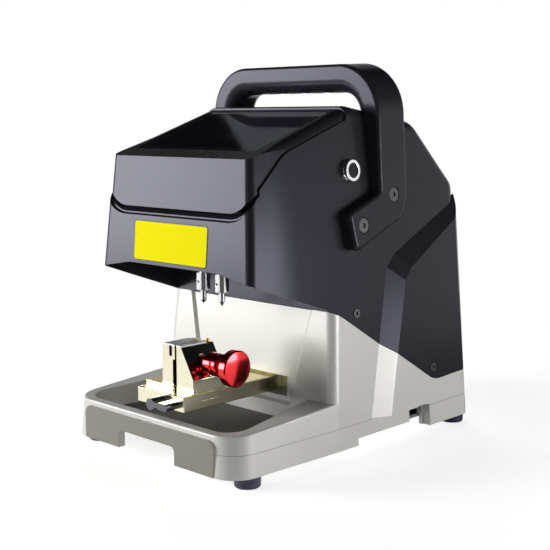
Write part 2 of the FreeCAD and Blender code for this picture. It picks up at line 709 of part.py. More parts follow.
def base_casting():
    seam = above(SEAM_LINE)
    column = column_block(0, Z_LOW, SEAM_FRONT_Z + 20.0)
    fenders = both_sides(bulge(0))
    outer = fuse([tray_block(), front_pad(), column.cut(seam)] + [f.cut(seam) for f in fenders])

    skirt_front = RIM_FRONT_Y + SKIRT_WALL
    skirt_half = side_x(RIM_FRONT_Z) - TRAY_TAPER * (COLUMN_FRONT_Y - skirt_front) - SKIRT_WALL
    skirt_corner = TRAY_CORNER_R - SKIRT_WALL
    hollow = prism("xy", [(-skirt_half, skirt_front, skirt_corner), (skirt_half, skirt_front, skirt_corner),
                          (skirt_half, COLUMN_INNER_Y), (-skirt_half, COLUMN_INNER_Y)],
                   0.0, TRAY_FLOOR_Z - TRAY_FLOOR_T)
    cavity = column_block(BASE_WALL, PLATE_TOP_Z, FAR / 2)
    plate_room = column_block(BASE_WALL - PLATE_LEDGE, 0.0, PLATE_TOP_Z)
    window = box(-WINDOW_HALF, WINDOW_HALF, COLUMN_FRONT_Y - 20.0, COLUMN_INNER_Y + 1.0,
                 WINDOW_LOW_Z, WINDOW_TOP_Z)
    notch = prism("xz", [(-NOTCH_HALF, 0.0), (-NOTCH_HALF, NOTCH_TOP_Z, NOTCH_CORNER_R),
                         (NOTCH_HALF, NOTCH_TOP_Z, NOTCH_CORNER_R), (NOTCH_HALF, 0.0)],
                  FRONT_Y - 5.0, skirt_front + 1.0)
    step = box(-FAR, FAR, STEP_FRONT_Y, STEP_REAR_Y + 1.0, 0.0, STEP_TOP_Z)
    notch_rear = STEP_REAR_Y + LEG_NOTCH_WIDTH
    leg_notch = prism("yz", [(STEP_REAR_Y, 0.0), (STEP_REAR_Y, LEG_NOTCH_TOP_Z, LEG_NOTCH_R),
                             (notch_rear, LEG_NOTCH_TOP_Z, LEG_NOTCH_R), (notch_rear, 0.0)],
                      side_x(0.0) - LEG_NOTCH_DEPTH, FAR)
    inlet_hole = rod("y", (INLET_X, 0.0, INLET_Z), INLET_R + SCREW_FIT, REAR_Y - 40.0, REAR_Y + 5.0)
    base = outer.cut(fuse([tray_pocket(), hollow]))
    base = base.cut(Part.Compound([cavity, plate_room]))
    openings = [wall_panel_recess(), window, notch, step, inlet_hole] + both_sides(leg_notch)
    base = base.cut(Part.Compound(openings))

    bosses = []
    for x, y in foot_places():
        top = TRAY_FLOOR_Z - TRAY_FLOOR_T if y < 0 else PLATE_Z - PLATE_GAP
        bosses.append(rod("z", (x, y, 0.0), FOOT_BOSS_R, Z_LOW, top).common(outer))
    base = fuse([base] + bosses)
    hole_top = Z_LOW + FOOT_SCREW_BITE + 0.5
    holes = [rod("z", (x, y, 0.0), FOOT_SCREW_R + SCREW_FIT, 0.0, hole_top) for x, y in foot_places()]
    base = base.cut(Part.Compound(holes + cover_screw_holes()))
    return max(base.Solids, key=lambda solid: solid.Volume)


def feet():
    """Tapered rubber feet with a recess for the screw, and the screws."""
    rubber, screws = [], []
    head_low, head_top = FOOT_HEIGHT * 0.3, FOOT_HEIGHT * 0.6
    low_r = FOOT_R - FOOT_TAPER
    for x, y in foot_places():
        point = (x, y, 0.0)
        foot = turned("z", point, [(0.0, 0.0), (0.0, low_r - FOOT_CHAMFER), (FOOT_CHAMFER, low_r),
                                   (FOOT_HEIGHT, FOOT_R), (FOOT_HEIGHT, 0.0)])
        recess = rod("z", point, FOOT_HEAD_R + FOOT_HEAD_GAP, -1.0, head_top)
        hole = rod("z", point, FOOT_SCREW_R + SCREW_FIT, -1.0, FOOT_HEIGHT + 1.0)
        rubber.append(foot.cut(recess.fuse(hole)))
        head = rod("z", point, FOOT_HEAD_R, head_low, head_top)
        shank = rod("z", point, FOOT_SCREW_R, head_top, FOOT_HEIGHT + FOOT_SCREW_BITE)
        screws.append(head.fuse(shank).removeSplitter())
    return rubber, screws


def bottom_plate():
    wall = BASE_WALL - PLATE_LEDGE
    half = side_x(PLATE_TOP_Z) - wall - PLATE_GAP
    front = COLUMN_INNER_Y + PLATE_GAP
    rear = REAR_Y - wall - PLATE_GAP
    corner = BODY_CORNER_R - wall
    points = [(-half, front, PLATE_CORNER_R), (half, front, PLATE_CORNER_R),
              (half, rear, corner), (-half, rear, corner)]
    plate = prism("xy", points, PLATE_Z, PLATE_TOP_Z)
    vents = []
    for i in range(VENT_COUNT):
        x = (i - (VENT_COUNT - 1) / 2) * VENT_PITCH
        corners = [(x - VENT_HALF, VENT_Y[0]), (x + VENT_HALF, VENT_Y[0]), (x + VENT_HALF, VENT_Y[1]),
                   (x - VENT_HALF, VENT_Y[1])]
        vents.append(prism("xy", [c + (VENT_HALF - 0.1,) for c in corners], 0.0, 2 * PLATE_Z))
    return plate.cut(Part.Compound(vents))


# Cover, screen and handle


def housing_front(grow, y):
    """Front-view outline of the screen housing, grown all round by a margin."""
    radius = HOUSING_CORNER_R + grow
    low = HOUSING_BOTTOM_Z - grow
    half = side_x(HOUSING_BOTTOM_Z) - HOUSING_INSET - HEAD_TAPER * (HEAD_CREASE_Y - HEAD_FRONT_Y) + grow
    rise = 2 * HOUSING_CORNER_R
    flare = half + HOUSING_FLARE * rise
    return outline("xz", [(-half, low, radius), (half, low, radius), (flare, low + rise), (FAR, low + rise),
                          (FAR, FAR), (-FAR, FAR), (-FAR, low + rise), (-flare, low + rise)], y)


def housing_side(gap):
    """The space above the housing's lower edge, seen from the side."""
    start = HEAD_FRONT_Y - 40.0
    low = HOUSING_BOTTOM_Z - 40.0
    depth = HOUSING_DEPTH_Y + gap
    rear = HOUSING_REAR_Y + gap
    line = [(start, low), (depth, low), (depth, HOUSING_SIDE_Z - gap),
            (HOUSING_KNEE_Y, top_z(HOUSING_KNEE_Y) - HOUSING_KNEE_DROP - gap, HOUSING_KNEE_R),
            (rear, top_z(HOUSING_REAR_Y) - HOUSING_REAR_DROP - gap), (rear, FAR), (start, FAR)]
    return prism("yz", line, -FAR, FAR)


def housing_space(gap):
    """The space of the screen housing, or with a gap the seat that the cover leaves for it."""
    if gap == 0:
        front = Part.Face(housing_front(0.0, HEAD_FRONT_Y - 40.0))
        return housing_side(0.0).common(front.extrude(V(0, FAR, 0)))
    shoulder_y = HEAD_FRONT_Y - 10.0
    flare = gap + (HOUSING_DEPTH_Y - shoulder_y) * SHOULDER_FLARE
    wires = [housing_front(flare, shoulder_y), housing_front(gap, HOUSING_DEPTH_Y)]
    shoulder = Part.makeLoft(wires, True, True)
    behind = Part.Face(housing_front(gap, HOUSING_DEPTH_Y)).extrude(V(0, FAR / 2, 0))
    return housing_side(gap).common(shoulder.fuse(behind))


def housing_roof():
    """The space under the housing's top, whose rounded side edges run out towards the front corners."""
    low = HOUSING_BOTTOM_Z - 40.0
    start = HEAD_FRONT_Y - 20.0
    full = TOP_FRONT_Y + HOUSING_EDGE_RUN
    wires = []
    tight, wide = HOUSING_EDGE_R
    for y, corner in ((start, tight), (TOP_FRONT_Y, tight), (full, wide), (TOP_REAR_Y, wide)):
        top = top_z(y) - HOUSING_INSET
        half, foot = side_x(top) - HOUSING_INSET, side_x(low) - HOUSING_INSET
        wires.append(outline("xz", [(-foot, low), (-half, top, corner), (half, top, corner), (foot, low)], y))
    return Part.makeLoft(wires, True, True)


def screen_housing():
    body = head_block(HOUSING_INSET, HEAD_CORNER_R).common(housing_roof()).common(housing_space(0.0))
    hollow = head_block(HOUSING_INSET + HOUSING_WALL, INNER_R).common(housing_space(0.0))
    opening = glass_plate(GLASS_GAP - DISPLAY_MARGIN, -2 * HOUSING_WALL, 0.0)
    return body.cut(hollow).cut(fuse([glass_plate(GLASS_GAP, -GLASS_T - GLASS_GAP, 20.0), opening]))


def glass_plate(grow, low, high):
    """A plate in the sloped face, between two heights over the glass's surface, grown beyond its outline."""
    slope = math.degrees(math.atan2(BODY_TOP_Z - TOP_FRONT_Z, TOP_REAR_Y - TOP_FRONT_Y))
    front = TOP_FRONT_Y + GLASS_FRONT_MARGIN
    rear = HOUSING_REAR_Y - GLASS_REAR_MARGIN
    half = side_x(BODY_TOP_Z) - HOUSING_INSET - GLASS_SIDE_MARGIN + grow
    length = (rear - front) / math.cos(math.radians(slope))
    corners = [(-half, -grow), (half, -grow), (half, length + grow), (-half, length + grow)]
    plate = prism("xy", [c + (GLASS_CORNER_R,) for c in corners], low, high)
    place = V(0, front, top_z(front) - HOUSING_INSET - GLASS_SINK)
    plate.Placement = FreeCAD.Placement(place, FreeCAD.Rotation(V(1, 0, 0), slope))
    return plate


def head_wall():
    """The cover's own wall behind the spindles, in line with the column's front."""
    low = SEAM_FRONT_Z - 30.0
    top = HEAD_FLOOR_Z + COVER_WALL
    points = [(column_y(low), low), (column_y(top), top), (COLUMN_INNER_Y, top), (COLUMN_INNER_Y, low)]
    return prism("yz", points, -FAR, FAR)


def head_floor():
    floor = box(-FAR, FAR, -FAR, COLUMN_INNER_Y, HEAD_FLOOR_Z, HEAD_FLOOR_Z + COVER_WALL)
    room = HOUSING_R + SPINDLE_ROOM
    half = SPINDLE_GAP_X / 2 + room
    front, rear = SPINDLE_Y - room, SPINDLE_Y + room
    corners = [(-half, front), (half, front), (half, rear), (-half, rear)]
    return floor.cut(prism("xy", [c + (room - 0.1,) for c in corners], LIP_Z, BODY_TOP_Z))


def lip_arch():
    half = side_x(LIP_Z) - HEAD_TAPER * (HEAD_CREASE_Y - HEAD_FRONT_Y)
    top = LIP_Z + LIP_ARCH
    low = LIP_Z - 60.0
    points = [(-half, LIP_Z), (-0.6 * half, top, LIP_ARCH_R), (0.6 * half, top, LIP_ARCH_R), (half, LIP_Z),
              (half, low), (-half, low)]
    return prism("xz", points, HEAD_FRONT_Y - 20.0, HEAD_FRONT_Y + 12.0)


def head_nose():
    """The head's front below the screen housing, with its own tight corners."""
    below = box(-FAR, FAR, -FAR, HOUSING_DEPTH_Y, 0.0, HOUSING_SIDE_Z)
    return head_block(0.0, HEAD_CORNER_R).common(below)


def main_cover():
    outer = fuse([head_core(0.0), head_nose()] + both_sides(bulge(0)))
    outer = outer.common(above(COVER_LINE, SEAM_GAP))
    inner = head_core(COVER_WALL)
    hollow = inner.cut(fuse([head_floor(), head_wall()]))
    pockets = [b.cut(inner) for b in both_sides(bulge(COVER_WALL))]
    cover = outer.cut(hollow).cut(Part.Compound(pockets)).cut(lip_arch())
    cover = cover.cut(housing_space(SEAT_GAP))
    cover = cover.fuse(housing_seat()).removeSplitter()
    groove = housing_space(SEAT_GROOVE).cut(head_core(SEAT_GROOVE_DEPTH))
    cover = cover.cut(Part.Compound([groove, button_hole()] + cover_screw_holes() + handle_screw_holes()))
    return max(cover.Solids, key=lambda solid: solid.Volume)


def housing_seat():
    """The wall of the cover that the screen housing lies on."""
    under = housing_space(SEAT_GAP + COVER_WALL)
    wall = head_core(COVER_WALL - 0.5).common(under).cut(housing_space(SEAT_GAP))
    half, front, rear = SEAT_OPENING
    return wall.cut(box(-half, half, front, rear, HOUSING_BOTTOM_Z - 20.0, Z_HIGH))


def carry_handle():
    """A thick moulded bow with finger scallops, running down into a foot plate on each side."""
    thick = HANDLE_BAR_T
    top = HANDLE_TOP_Z - thick / 2
    low = HANDLE_LEG_Z
    low_x = side_x(low, HANDLE_OUT) - thick / 2
    top_x = low_x - HANDLE_CLOSE_IN
    low_y = HANDLE_FRONT_Y + HANDLE_DEPTH / 2
    top_y = low_y - HANDLE_TILT
    corners = [V(-low_x, low_y, low), V(-top_x, top_y, top), V(top_x, top_y, top), V(low_x, low_y, low)]
    path = bent_path(corners, HANDLE_BEND_R)
    section = []
    for dx, dy, radius in ((-1, -1, HANDLE_EDGE_R), (1, -1, HANDLE_GRIP_R), (1, 1, HANDLE_GRIP_R),
                           (-1, 1, HANDLE_EDGE_R)):
        section.append((corners[0] + V(dx * thick / 2, dy * HANDLE_DEPTH / 2, 0.0), radius))
    bow = path.makePipeShell([rounded_wire(section)], True, False).cut(finger_hollows())
    foot = handle_foot()
    handle = fuse([bow, foot, mirrored(foot)])
    handle = handle.cut(head_core(-HANDLE_GAP)).cut(Part.Compound(both_sides(bulge(0))))
    return handle.cut(Part.Compound(handle_screw_holes()))


def finger_hollows():
    """The wavy space cut from under the bow: a zigzag whose corners are rounded."""
    lean = math.atan2(GRIP_DEPTH, GRIP_PITCH / 2)
    low = HANDLE_TOP_Z - HANDLE_BAR_T - GRIP_LUMP_R * (1 / math.cos(lean) - 1)
    last = (GRIP_COUNT - 1) * GRIP_PITCH / 2
    end = last + GRIP_END
    line = [(-end, low)]
    for i in range(GRIP_COUNT):
        x = i * GRIP_PITCH - last
        line += [(x, low + GRIP_DEPTH, GRIP_HOLLOW_R), (x + GRIP_PITCH / 2, low, GRIP_LUMP_R)]
    line[-1] = (end, low)
    below = low - GRIP_LUMP_R
    return prism("xz", line + [(end, below), (-end, below)], -FAR, FAR)


def bent_path(corners, radius):
    """An open wire of straight runs joined by arcs of one radius."""
    edges = []
    start = corners[0]
    for last, point, following in zip(corners, corners[1:], corners[2:]):
        to_last = (last - point).normalize()
        to_next = (following - point).normalize()
        half = to_last.getAngle(to_next) / 2
        reach = radius / math.tan(half)
        middle = point + (to_last + to_next).normalize() * (radius / math.sin(half) - radius)
        edges.append(Part.LineSegment(start, point + to_last * reach).toShape())
        edges.append(Part.Arc(point + to_last * reach, middle, point + to_next * reach).toShape())
        start = point + to_next * reach
    edges.append(Part.LineSegment(start, corners[-1]).toShape())
    return Part.Wire(edges)


def handle_foot():
    """The right foot plate: it kicks forward and down from the leg and carries two screws."""
    rear = HANDLE_FRONT_Y + HANDLE_DEPTH
    points = [(HANDLE_FRONT_Y, HANDLE_FOOT_TOP_Z, 0.0), (HANDLE_FRONT_Y, HANDLE_LEG_Z, HANDLE_INSTEP_R)]
    points += list(HANDLE_TOE) + [(rear, HANDLE_HEEL_Z, HANDLE_HEEL_R), (rear, HANDLE_FOOT_TOP_Z, 0.0)]
    wires = []
    for out in (-1.0, HANDLE_OUT):
        wires.append(rounded_wire([(V(side_x(z, out), y, z), radius) for y, z, radius in points]))
    foot = Part.makeLoft(wires, True, True)
    face = max(foot.Faces, key=lambda f: f.CenterOfMass.x)
    rounded = [edge for edge in face.Edges if edge.CenterOfMass.z < HANDLE_FOOT_TOP_Z - 2.0]
    return foot.makeFillet(HANDLE_FOOT_R, rounded)


# Screws, button and inlet


def handle_screw_holes():
    holes = []
    for y, z in HANDLE_SCREWS:
        place = on_side(y, z)
        seat = HANDLE_OUT - HANDLE_HEAD_T
        head = side_cylinder(place, HANDLE_HEAD_R + HANDLE_HEAD_FIT, seat, HANDLE_OUT + 5.0)
        shank = side_cylinder(place, HANDLE_SHANK_R + SCREW_FIT, -HANDLE_SHANK_L - SCREW_FIT, seat)
        holes += both_sides(head.fuse(shank).removeSplitter())
    return holes


def handle_screws():
    screws = []
    for y, z in HANDLE_SCREWS:
        place = on_side(y, z)
        seat, top = HANDLE_OUT - HANDLE_HEAD_T, HANDLE_OUT - HANDLE_HEAD_SINK
        head = side_cylinder(place, HANDLE_HEAD_R, seat, top)
        shank = side_cylinder(place, HANDLE_SHANK_R, -HANDLE_SHANK_L, seat)
        socket = hex_socket(place, HANDLE_SOCKET_R, top - SOCKET_DEPTH)
        screws += both_sides(head.fuse(shank).removeSplitter().cut(socket))
    return screws


def hex_socket(place, radius, floor):
    """A hexagon key's socket along a side's normal, open outwards from its floor."""
    corners = [(V(radius * math.cos(turn), radius * math.sin(turn), floor), 0.0)
               for turn in (math.radians(60 * i) for i in range(6))]
    socket = Part.Face(rounded_wire(corners)).extrude(V(0, 0, 5.0))
    socket.Placement = place
    return socket


def cover_screw_holes():
    holes = []
    for y, z, out in COVER_SCREWS:
        place = on_side(y, z, out)
        seat = COVER_HEAD_RAISE - COVER_HEAD_T
        head = side_cylinder(place, COVER_HEAD_R + HEAD_FIT, seat, 3.0)
        shank = side_cylinder(place, COVER_SHANK_R + SCREW_FIT, -COVER_SHANK_L - SCREW_FIT, seat)
        holes += both_sides(head.fuse(shank).removeSplitter())
    return holes


def cover_screws():
    screws = []
    for y, z, out in COVER_SCREWS:
        place = on_side(y, z, out)
        seat = COVER_HEAD_RAISE - COVER_HEAD_T
        head = side_cylinder(place, COVER_HEAD_R, seat, COVER_HEAD_RAISE)
        shank = side_cylinder(place, COVER_SHANK_R, -COVER_SHANK_L, seat)
        socket = hex_socket(place, COVER_SOCKET_R, COVER_HEAD_RAISE - SOCKET_DEPTH)
        screws += both_sides(head.fuse(shank).removeSplitter().cut(socket))
    return screws


def button_hole():
    return side_cylinder(on_side(*BUTTON_YZ), BUTTON_BARREL_R + SCREW_FIT, -30.0, 10.0)


def button():
    """The power button: a flanged barrel, its ring nut inside the cover, and the cap that travels."""
    place = on_side(*BUTTON_YZ)
    floor = BUTTON_FLOOR - BUTTON_BARREL_L
    top = BUTTON_FLANGE_T + BUTTON_RING_T
    flange = Part.makeCone(BUTTON_FLANGE_R, BUTTON_FLANGE_R - BUTTON_CHAMFER, BUTTON_FLANGE_T)
    ring_foot = V(0, 0, BUTTON_FLANGE_T)
    ring = Part.makeCone(BUTTON_RING_R, BUTTON_RING_R - BUTTON_CHAMFER, BUTTON_RING_T, ring_foot)
    barrel = Part.makeCylinder(BUTTON_BARREL_R, BUTTON_BARREL_L, V(0, 0, -BUTTON_BARREL_L))
    bore = Part.makeCylinder(BUTTON_CAP_R + SLIDE_GAP, top - floor + 1.0, V(0, 0, floor))
    body = fuse([flange, ring, barrel]).cut(bore)
    nut = Part.makeCylinder(BUTTON_NUT_R, BUTTON_NUT_T, V(0, 0, -COVER_WALL - BUTTON_NUT_T - SLIDE_GAP))
    through = V(0, 0, -BUTTON_BARREL_L)
    nut = nut.cut(Part.makeCylinder(BUTTON_BARREL_R + SCREW_FIT, 2 * BUTTON_BARREL_L, through))
    low = floor + BUTTON_TRAVEL + SLIDE_GAP
    cap = Part.makeCylinder(BUTTON_CAP_R, top - BUTTON_CAP_SINK - low, V(0, 0, low))
    for shape in (body, nut, cap):
        shape.Placement = place
    return body, nut, cap


def power_inlet():
    """The round direct-current socket in the rear wall."""
    point = (INLET_X, 0.0, INLET_Z)
    barrel = rod("y", point, INLET_R, REAR_Y - INLET_L, REAR_Y - INLET_SINK)
    bore = rod("y", point, INLET_R - INLET_WALL, REAR_Y - INLET_L + 3.0, REAR_Y + 1.0)
    pin = rod("y", point, INLET_PIN_R, REAR_Y - INLET_L + 2.0, REAR_Y - 3.0)
    return fuse([barrel.cut(bore), pin])


# Sideways axis


def motor_block(side, length):
    """A square stepper motor with chamfered corners, along +Z from its mounting face."""
    h, c = side / 2, MOTOR_CORNER
    points = [(-h + c, -h), (h - c, -h), (h, -h + c), (h, h - c),
              (h - c, h), (-h + c, h), (-h, h - c), (-h, -h + c)]
    return prism("xy", points, 0.0, length)


def x_axis():
    """Guide rods, end blocks, lead screw and motor of the sideways axis."""
    rod_points = [(0.0, y, X_ROD_Z) for y in X_ROD_YS]
    reach = X_BLOCK_IN + X_BLOCK_T
    screw_point = (0.0, X_SCREW_Y, X_ROD_Z)
    rods = [rod("x", p, X_ROD_R, -reach, reach) for p in rod_points]
    holes = [rod("x", p, X_ROD_R + SEAT_FIT, -FAR, FAR) for p in rod_points]
    holes.append(rod("x", screw_point, X_SCREW_R + RUN_FIT, -FAR, FAR))
    block = box(X_BLOCK_IN, reach, CARRIAGE_FRONT_Y, CARRIAGE_REAR_Y, PLATE_TOP_Z, X_ROD_Z + X_BLOCK_H)
    blocks = [b.cut(Part.Compound(holes)) for b in both_sides(block)]
    screw_end = reach + X_MOTOR_L / 2
    screw = rod("x", screw_point, X_SCREW_R, -reach, screw_end)
    motor = motor_block(MOTOR_SIDE, X_MOTOR_L)
    motor.Placement = FreeCAD.Placement(V(reach, X_SCREW_Y, X_ROD_Z), FreeCAD.Rotation(V(0, 1, 0), 90))
    bore = rod("x", screw_point, X_SCREW_R + RUN_FIT, reach - 1.0, screw_end + SLIDE_GAP)
    return rods, blocks, screw, motor.cut(bore)


def x_carriage():
    """The saddle that runs on the sideways rods, its nut and the shield behind the window."""
    half = BAR_HALF + CARRIAGE_SIDE
    left, right = VISE_X - half, VISE_X + half
    saddle = box(left, right, CARRIAGE_FRONT_Y, CARRIAGE_REAR_Y,
                 BAR_BOTTOM_Z - CARRIAGE_DEPTH, BAR_TOP_Z + CARRIAGE_OVER)
    channel = bar_room(SLIDE_GAP)
    bores = [rod("x", (0.0, y, X_ROD_Z), X_ROD_R + RUN_FIT, -FAR, FAR) for y in X_ROD_YS]
    screw_point = (0.0, X_SCREW_Y, X_ROD_Z)
    pocket = rod("x", screw_point, NUT_R + SEAT_FIT, right - NUT_L, right + 1.0)
    clear = rod("x", screw_point, X_SCREW_R + SHAFT_CLEAR, -FAR, FAR)
    saddle = saddle.cut(Part.Compound([channel, pocket, clear] + bores))
    nut = rod("x", screw_point, NUT_R, right - NUT_L + FACE_GAP, right)
    nut = nut.cut(rod("x", screw_point, X_SCREW_R + RUN_FIT, -FAR, FAR))
    shield = box(VISE_X - SHIELD_HALF, VISE_X + SHIELD_HALF, CARRIAGE_FRONT_Y - SHIELD_T, CARRIAGE_FRONT_Y,
                 WINDOW_LOW_Z - SHIELD_LAP, WINDOW_TOP_Z + SHIELD_LAP)
    return saddle, nut, shield.cut(channel)


def bar_room(gap):
    half = BAR_HALF + gap
    return box(VISE_X - half, VISE_X + half, -FAR, FAR, BAR_BOTTOM_Z - gap, BAR_TOP_Z + gap)


# Front-to-back axis and vise


def y_drive():
    """Motor bracket, motor, lead screw and nut of the front-to-back axis."""
    inner = BAR_HALF + BRACKET_ARM_GAP
    outer = inner + BRACKET_T
    rear = BRACKET_PLATE_Y + BRACKET_T
    low, high = BAR_MID_Z - Y_MOTOR_SIDE / 2, BAR_MID_Z + Y_MOTOR_SIDE / 2 - BRACKET_CUT
    bracket = box(VISE_X - outer, VISE_X + outer, CARRIAGE_REAR_Y, rear, low, high)
    room = box(VISE_X - inner, VISE_X + inner, CARRIAGE_REAR_Y - 1.0, BRACKET_PLATE_Y, 0.0, FAR)
    point = (VISE_X, 0.0, BAR_MID_Z)
    bracket = bracket.cut(room).cut(rod("y", point, Y_SCREW_R + RUN_FIT, 0.0, FAR))
    motor = motor_block(Y_MOTOR_SIDE, Y_MOTOR_L)
    motor.Placement = FreeCAD.Placement(V(VISE_X, rear, BAR_MID_Z), FreeCAD.Rotation(V(1, 0, 0), -90))
    screw_end = rear + Y_MOTOR_L / 2
    motor = motor.cut(rod("y", point, Y_SCREW_R + RUN_FIT, rear - 1.0, screw_end + SLIDE_GAP))
    screw = rod("y", point, Y_SCREW_R, BAR_REAR_Y - Y_BACK, screw_end)
    nut = rod("y", point, Y_NUT_R, BAR_REAR_Y - Y_NUT_L + FACE_GAP, BAR_REAR_Y)
    nut = nut.cut(rod("y", point, Y_SCREW_R + RUN_FIT, -FAR, FAR))
    return bracket, motor, screw, nut


def chamfered(shape, size):
    return shape.makeChamfer(size, shape.Edges)


def vise_bar():
    """The flat bar that carries the vise and slides into the column."""
    left, right = VISE_X - BAR_HALF, VISE_X + BAR_HALF
    bar = chamfered(box(left, right, BAR_FRONT_Y, BAR_REAR_Y, BAR_BOTTOM_Z, BAR_TOP_Z), BAR_CHAMFER)
    point = (VISE_X, 0.0, BAR_MID_Z)
    screw_room = rod("y", point, Y_SCREW_R + SHAFT_CLEAR / 2, BAR_REAR_Y - 2 * Y_BACK - 3.0, BAR_REAR_Y + 1.0)
    nut_room = rod("y", point, Y_NUT_R + SEAT_FIT, BAR_REAR_Y - Y_NUT_L, BAR_REAR_Y + 1.0)
    grooves = [box(left - 1.0, right + 1.0, y, y + BAR_GROOVE, BAR_TOP_Z - BAR_GROOVE, BAR_TOP_Z + 1.0)
               for y in BAR_GROOVE_YS]
    mark = box(right - BAR_GROOVE, right + 1.0, BAR_MARK[0], BAR_MARK[1], BAR_MID_Z, BAR_MID_Z + BAR_GROOVE)
    return bar.cut(Part.Compound([screw_room, nut_room, mark] + grooves))


def fixed_jaw():
    """The left jaw and its guide ledge on the bar, with a slotted clamping lip at the top."""
    low = BAR_TOP_Z + GUIDE_H
    ledge = box(VISE_X - BAR_HALF + GUIDE_INSET, FIXED_JAW_RIGHT, GUIDE_FRONT_Y, JAW_REAR_Y, BAR_TOP_Z, low)
    jaw = box(FIXED_JAW_LEFT, FIXED_JAW_RIGHT, JAW_FRONT_Y, JAW_REAR_Y, low - 1.0, JAW_TOP_Z)
    jaw = chamfered(ledge, JAW_CHAMFER).fuse(jaw).removeSplitter()
    face = FIXED_JAW_RIGHT - FIXED_JAW_BACK
    back = box(face, FIXED_JAW_RIGHT + 1.0, JAW_FRONT_Y - 9.0, JAW_REAR_Y + 1.0, low, JAW_TOP_Z - JAW_LIP_H)
    slot_right = FIXED_JAW_RIGHT - JAW_LIP_W
    slot = box(slot_right - JAW_SLOT_W, slot_right, JAW_FRONT_Y - 1.0, JAW_REAR_Y + 1.0,
               JAW_TOP_Z - JAW_SLOT_DEPTH, JAW_TOP_Z + 1.0)
    thread = rod("x", (0.0, CLAMP_Y, CLAMP_Z), CLAMP_R + RUN_FIT, FIXED_JAW_LEFT - 1.0, FIXED_JAW_RIGHT + 1.0)
    return jaw.cut(Part.Compound([back, slot, thread]))


def moving_jaw():
    """The right jaw: a block with a sloped outer face that slides towards the fixed jaw."""
    left, right = MOVING_JAW_LEFT, MOVING_JAW_RIGHT
    low = BAR_TOP_Z + FACE_GAP
    points = [(left, low), (left, JAW_TOP_Z), (left + MOVING_JAW_TOP_W, JAW_TOP_Z),
              (right, JAW_TOP_Z - JAW_KNEE_DROP), (right, low)]
    jaw = chamfered(prism("xz", points, JAW_FRONT_Y, JAW_REAR_Y), JAW_CHAMFER)
    hole = rod("x", (0.0, CLAMP_Y, CLAMP_Z), CLAMP_R + RUN_FIT, left - 1.0, right + 1.0)
    seat = rod("x", (0.0, CLAMP_Y, CLAMP_Z), KNOB_SEAT_R, seat_x(), right + 1.0)
    return jaw.cut(hole.fuse(seat))


def seat_x():
    """Where the knob's hub bears, on a flat cut into the moving jaw's slope."""
    slope = (MOVING_JAW_LOW_W - MOVING_JAW_TOP_W) / JAW_KNEE_DROP
    top = JAW_TOP_Z - CLAMP_Z - KNOB_SEAT_R
    return MOVING_JAW_LEFT + MOVING_JAW_TOP_W + slope * top - KNOB_SEAT_SINK


def jaw_plates():
    """The thin hardened plates on top of the two jaws, and the pin that a key's tip rests against."""
    top = JAW_TOP_Z + JAW_PLATE_T
    rear = JAW_REAR_Y - JAW_PLATE_SHORT
    fixed = box(FIXED_JAW_LEFT + FIXED_PLATE_INSET, FIXED_JAW_RIGHT, JAW_FRONT_Y, rear, JAW_TOP_Z, top)
    right = MOVING_JAW_LEFT + MOVING_JAW_TOP_W - JAW_CHAMFER
    moving = box(MOVING_JAW_LEFT, right, JAW_FRONT_Y, rear, JAW_TOP_Z, top)
    pin_x, pin_y = right - STOP_PIN_IN[0], JAW_REAR_Y - STOP_PIN_IN[1]
    pin = rod("z", (pin_x, pin_y, 0.0), STOP_PIN_R, JAW_TOP_Z, JAW_TOP_Z + STOP_PIN_H)
    return fixed, moving, pin


def clamp():
    """The clamp screw and the red knob that is fixed on it."""
    point = (0.0, CLAMP_Y, CLAMP_Z)
    hub = seat_x() + FACE_GAP
    collar = MOVING_JAW_RIGHT + KNOB_GAP
    groove = collar + KNOB_COLLAR_L
    bead = groove + KNOB_GROOVE_L
    neck = bead + KNOB_BEAD_L
    end = collar + KNOB_LENGTH
    disc = end - KNOB_DISC_T
    edge = KNOB_EDGE
    half = edge / 2
    knob = turned("x", point, [
        (hub, 0.0), (hub, KNOB_HUB_R), (collar, KNOB_HUB_R), (collar, KNOB_COLLAR_R - edge),
        (collar + edge, KNOB_COLLAR_R), (groove - half, KNOB_COLLAR_R), (groove, KNOB_COLLAR_R - half),
        (groove + half, KNOB_GROOVE_R), (bead - half, KNOB_GROOVE_R), (bead, KNOB_COLLAR_R - half),
        (bead + half, KNOB_COLLAR_R), (neck - edge, KNOB_COLLAR_R), (neck, KNOB_COLLAR_R - edge),
        (neck + 3 * half, KNOB_NECK_R), (disc - 3 * edge, KNOB_NECK_R), (disc, KNOB_NECK_R + 3 * edge),
        (disc, KNOB_DISC_R - edge), (disc + edge, KNOB_DISC_R), (end - edge, KNOB_DISC_R),
        (end, KNOB_DISC_R - edge), (end, 0.0)])
    rim = KNOB_DISC_R - edge
    ball = (rim ** 2 + KNOB_DOME ** 2) / (2 * KNOB_DOME)
    dome = Part.makeSphere(ball, V(end + KNOB_DOME - ball, CLAMP_Y, CLAMP_Z))
    dome = dome.common(rod("x", point, rim, end - half, end + edge + KNOB_DOME))
    knob = knob.fuse(dome).removeSplitter()
    screw_end = collar + CLAMP_BITE
    screw = rod("x", point, CLAMP_R, FIXED_JAW_LEFT - CLAMP_TAIL, screw_end)
    return screw, knob.cut(rod("x", point, CLAMP_R + SEAT_FIT, hub - 1.0, screw_end))


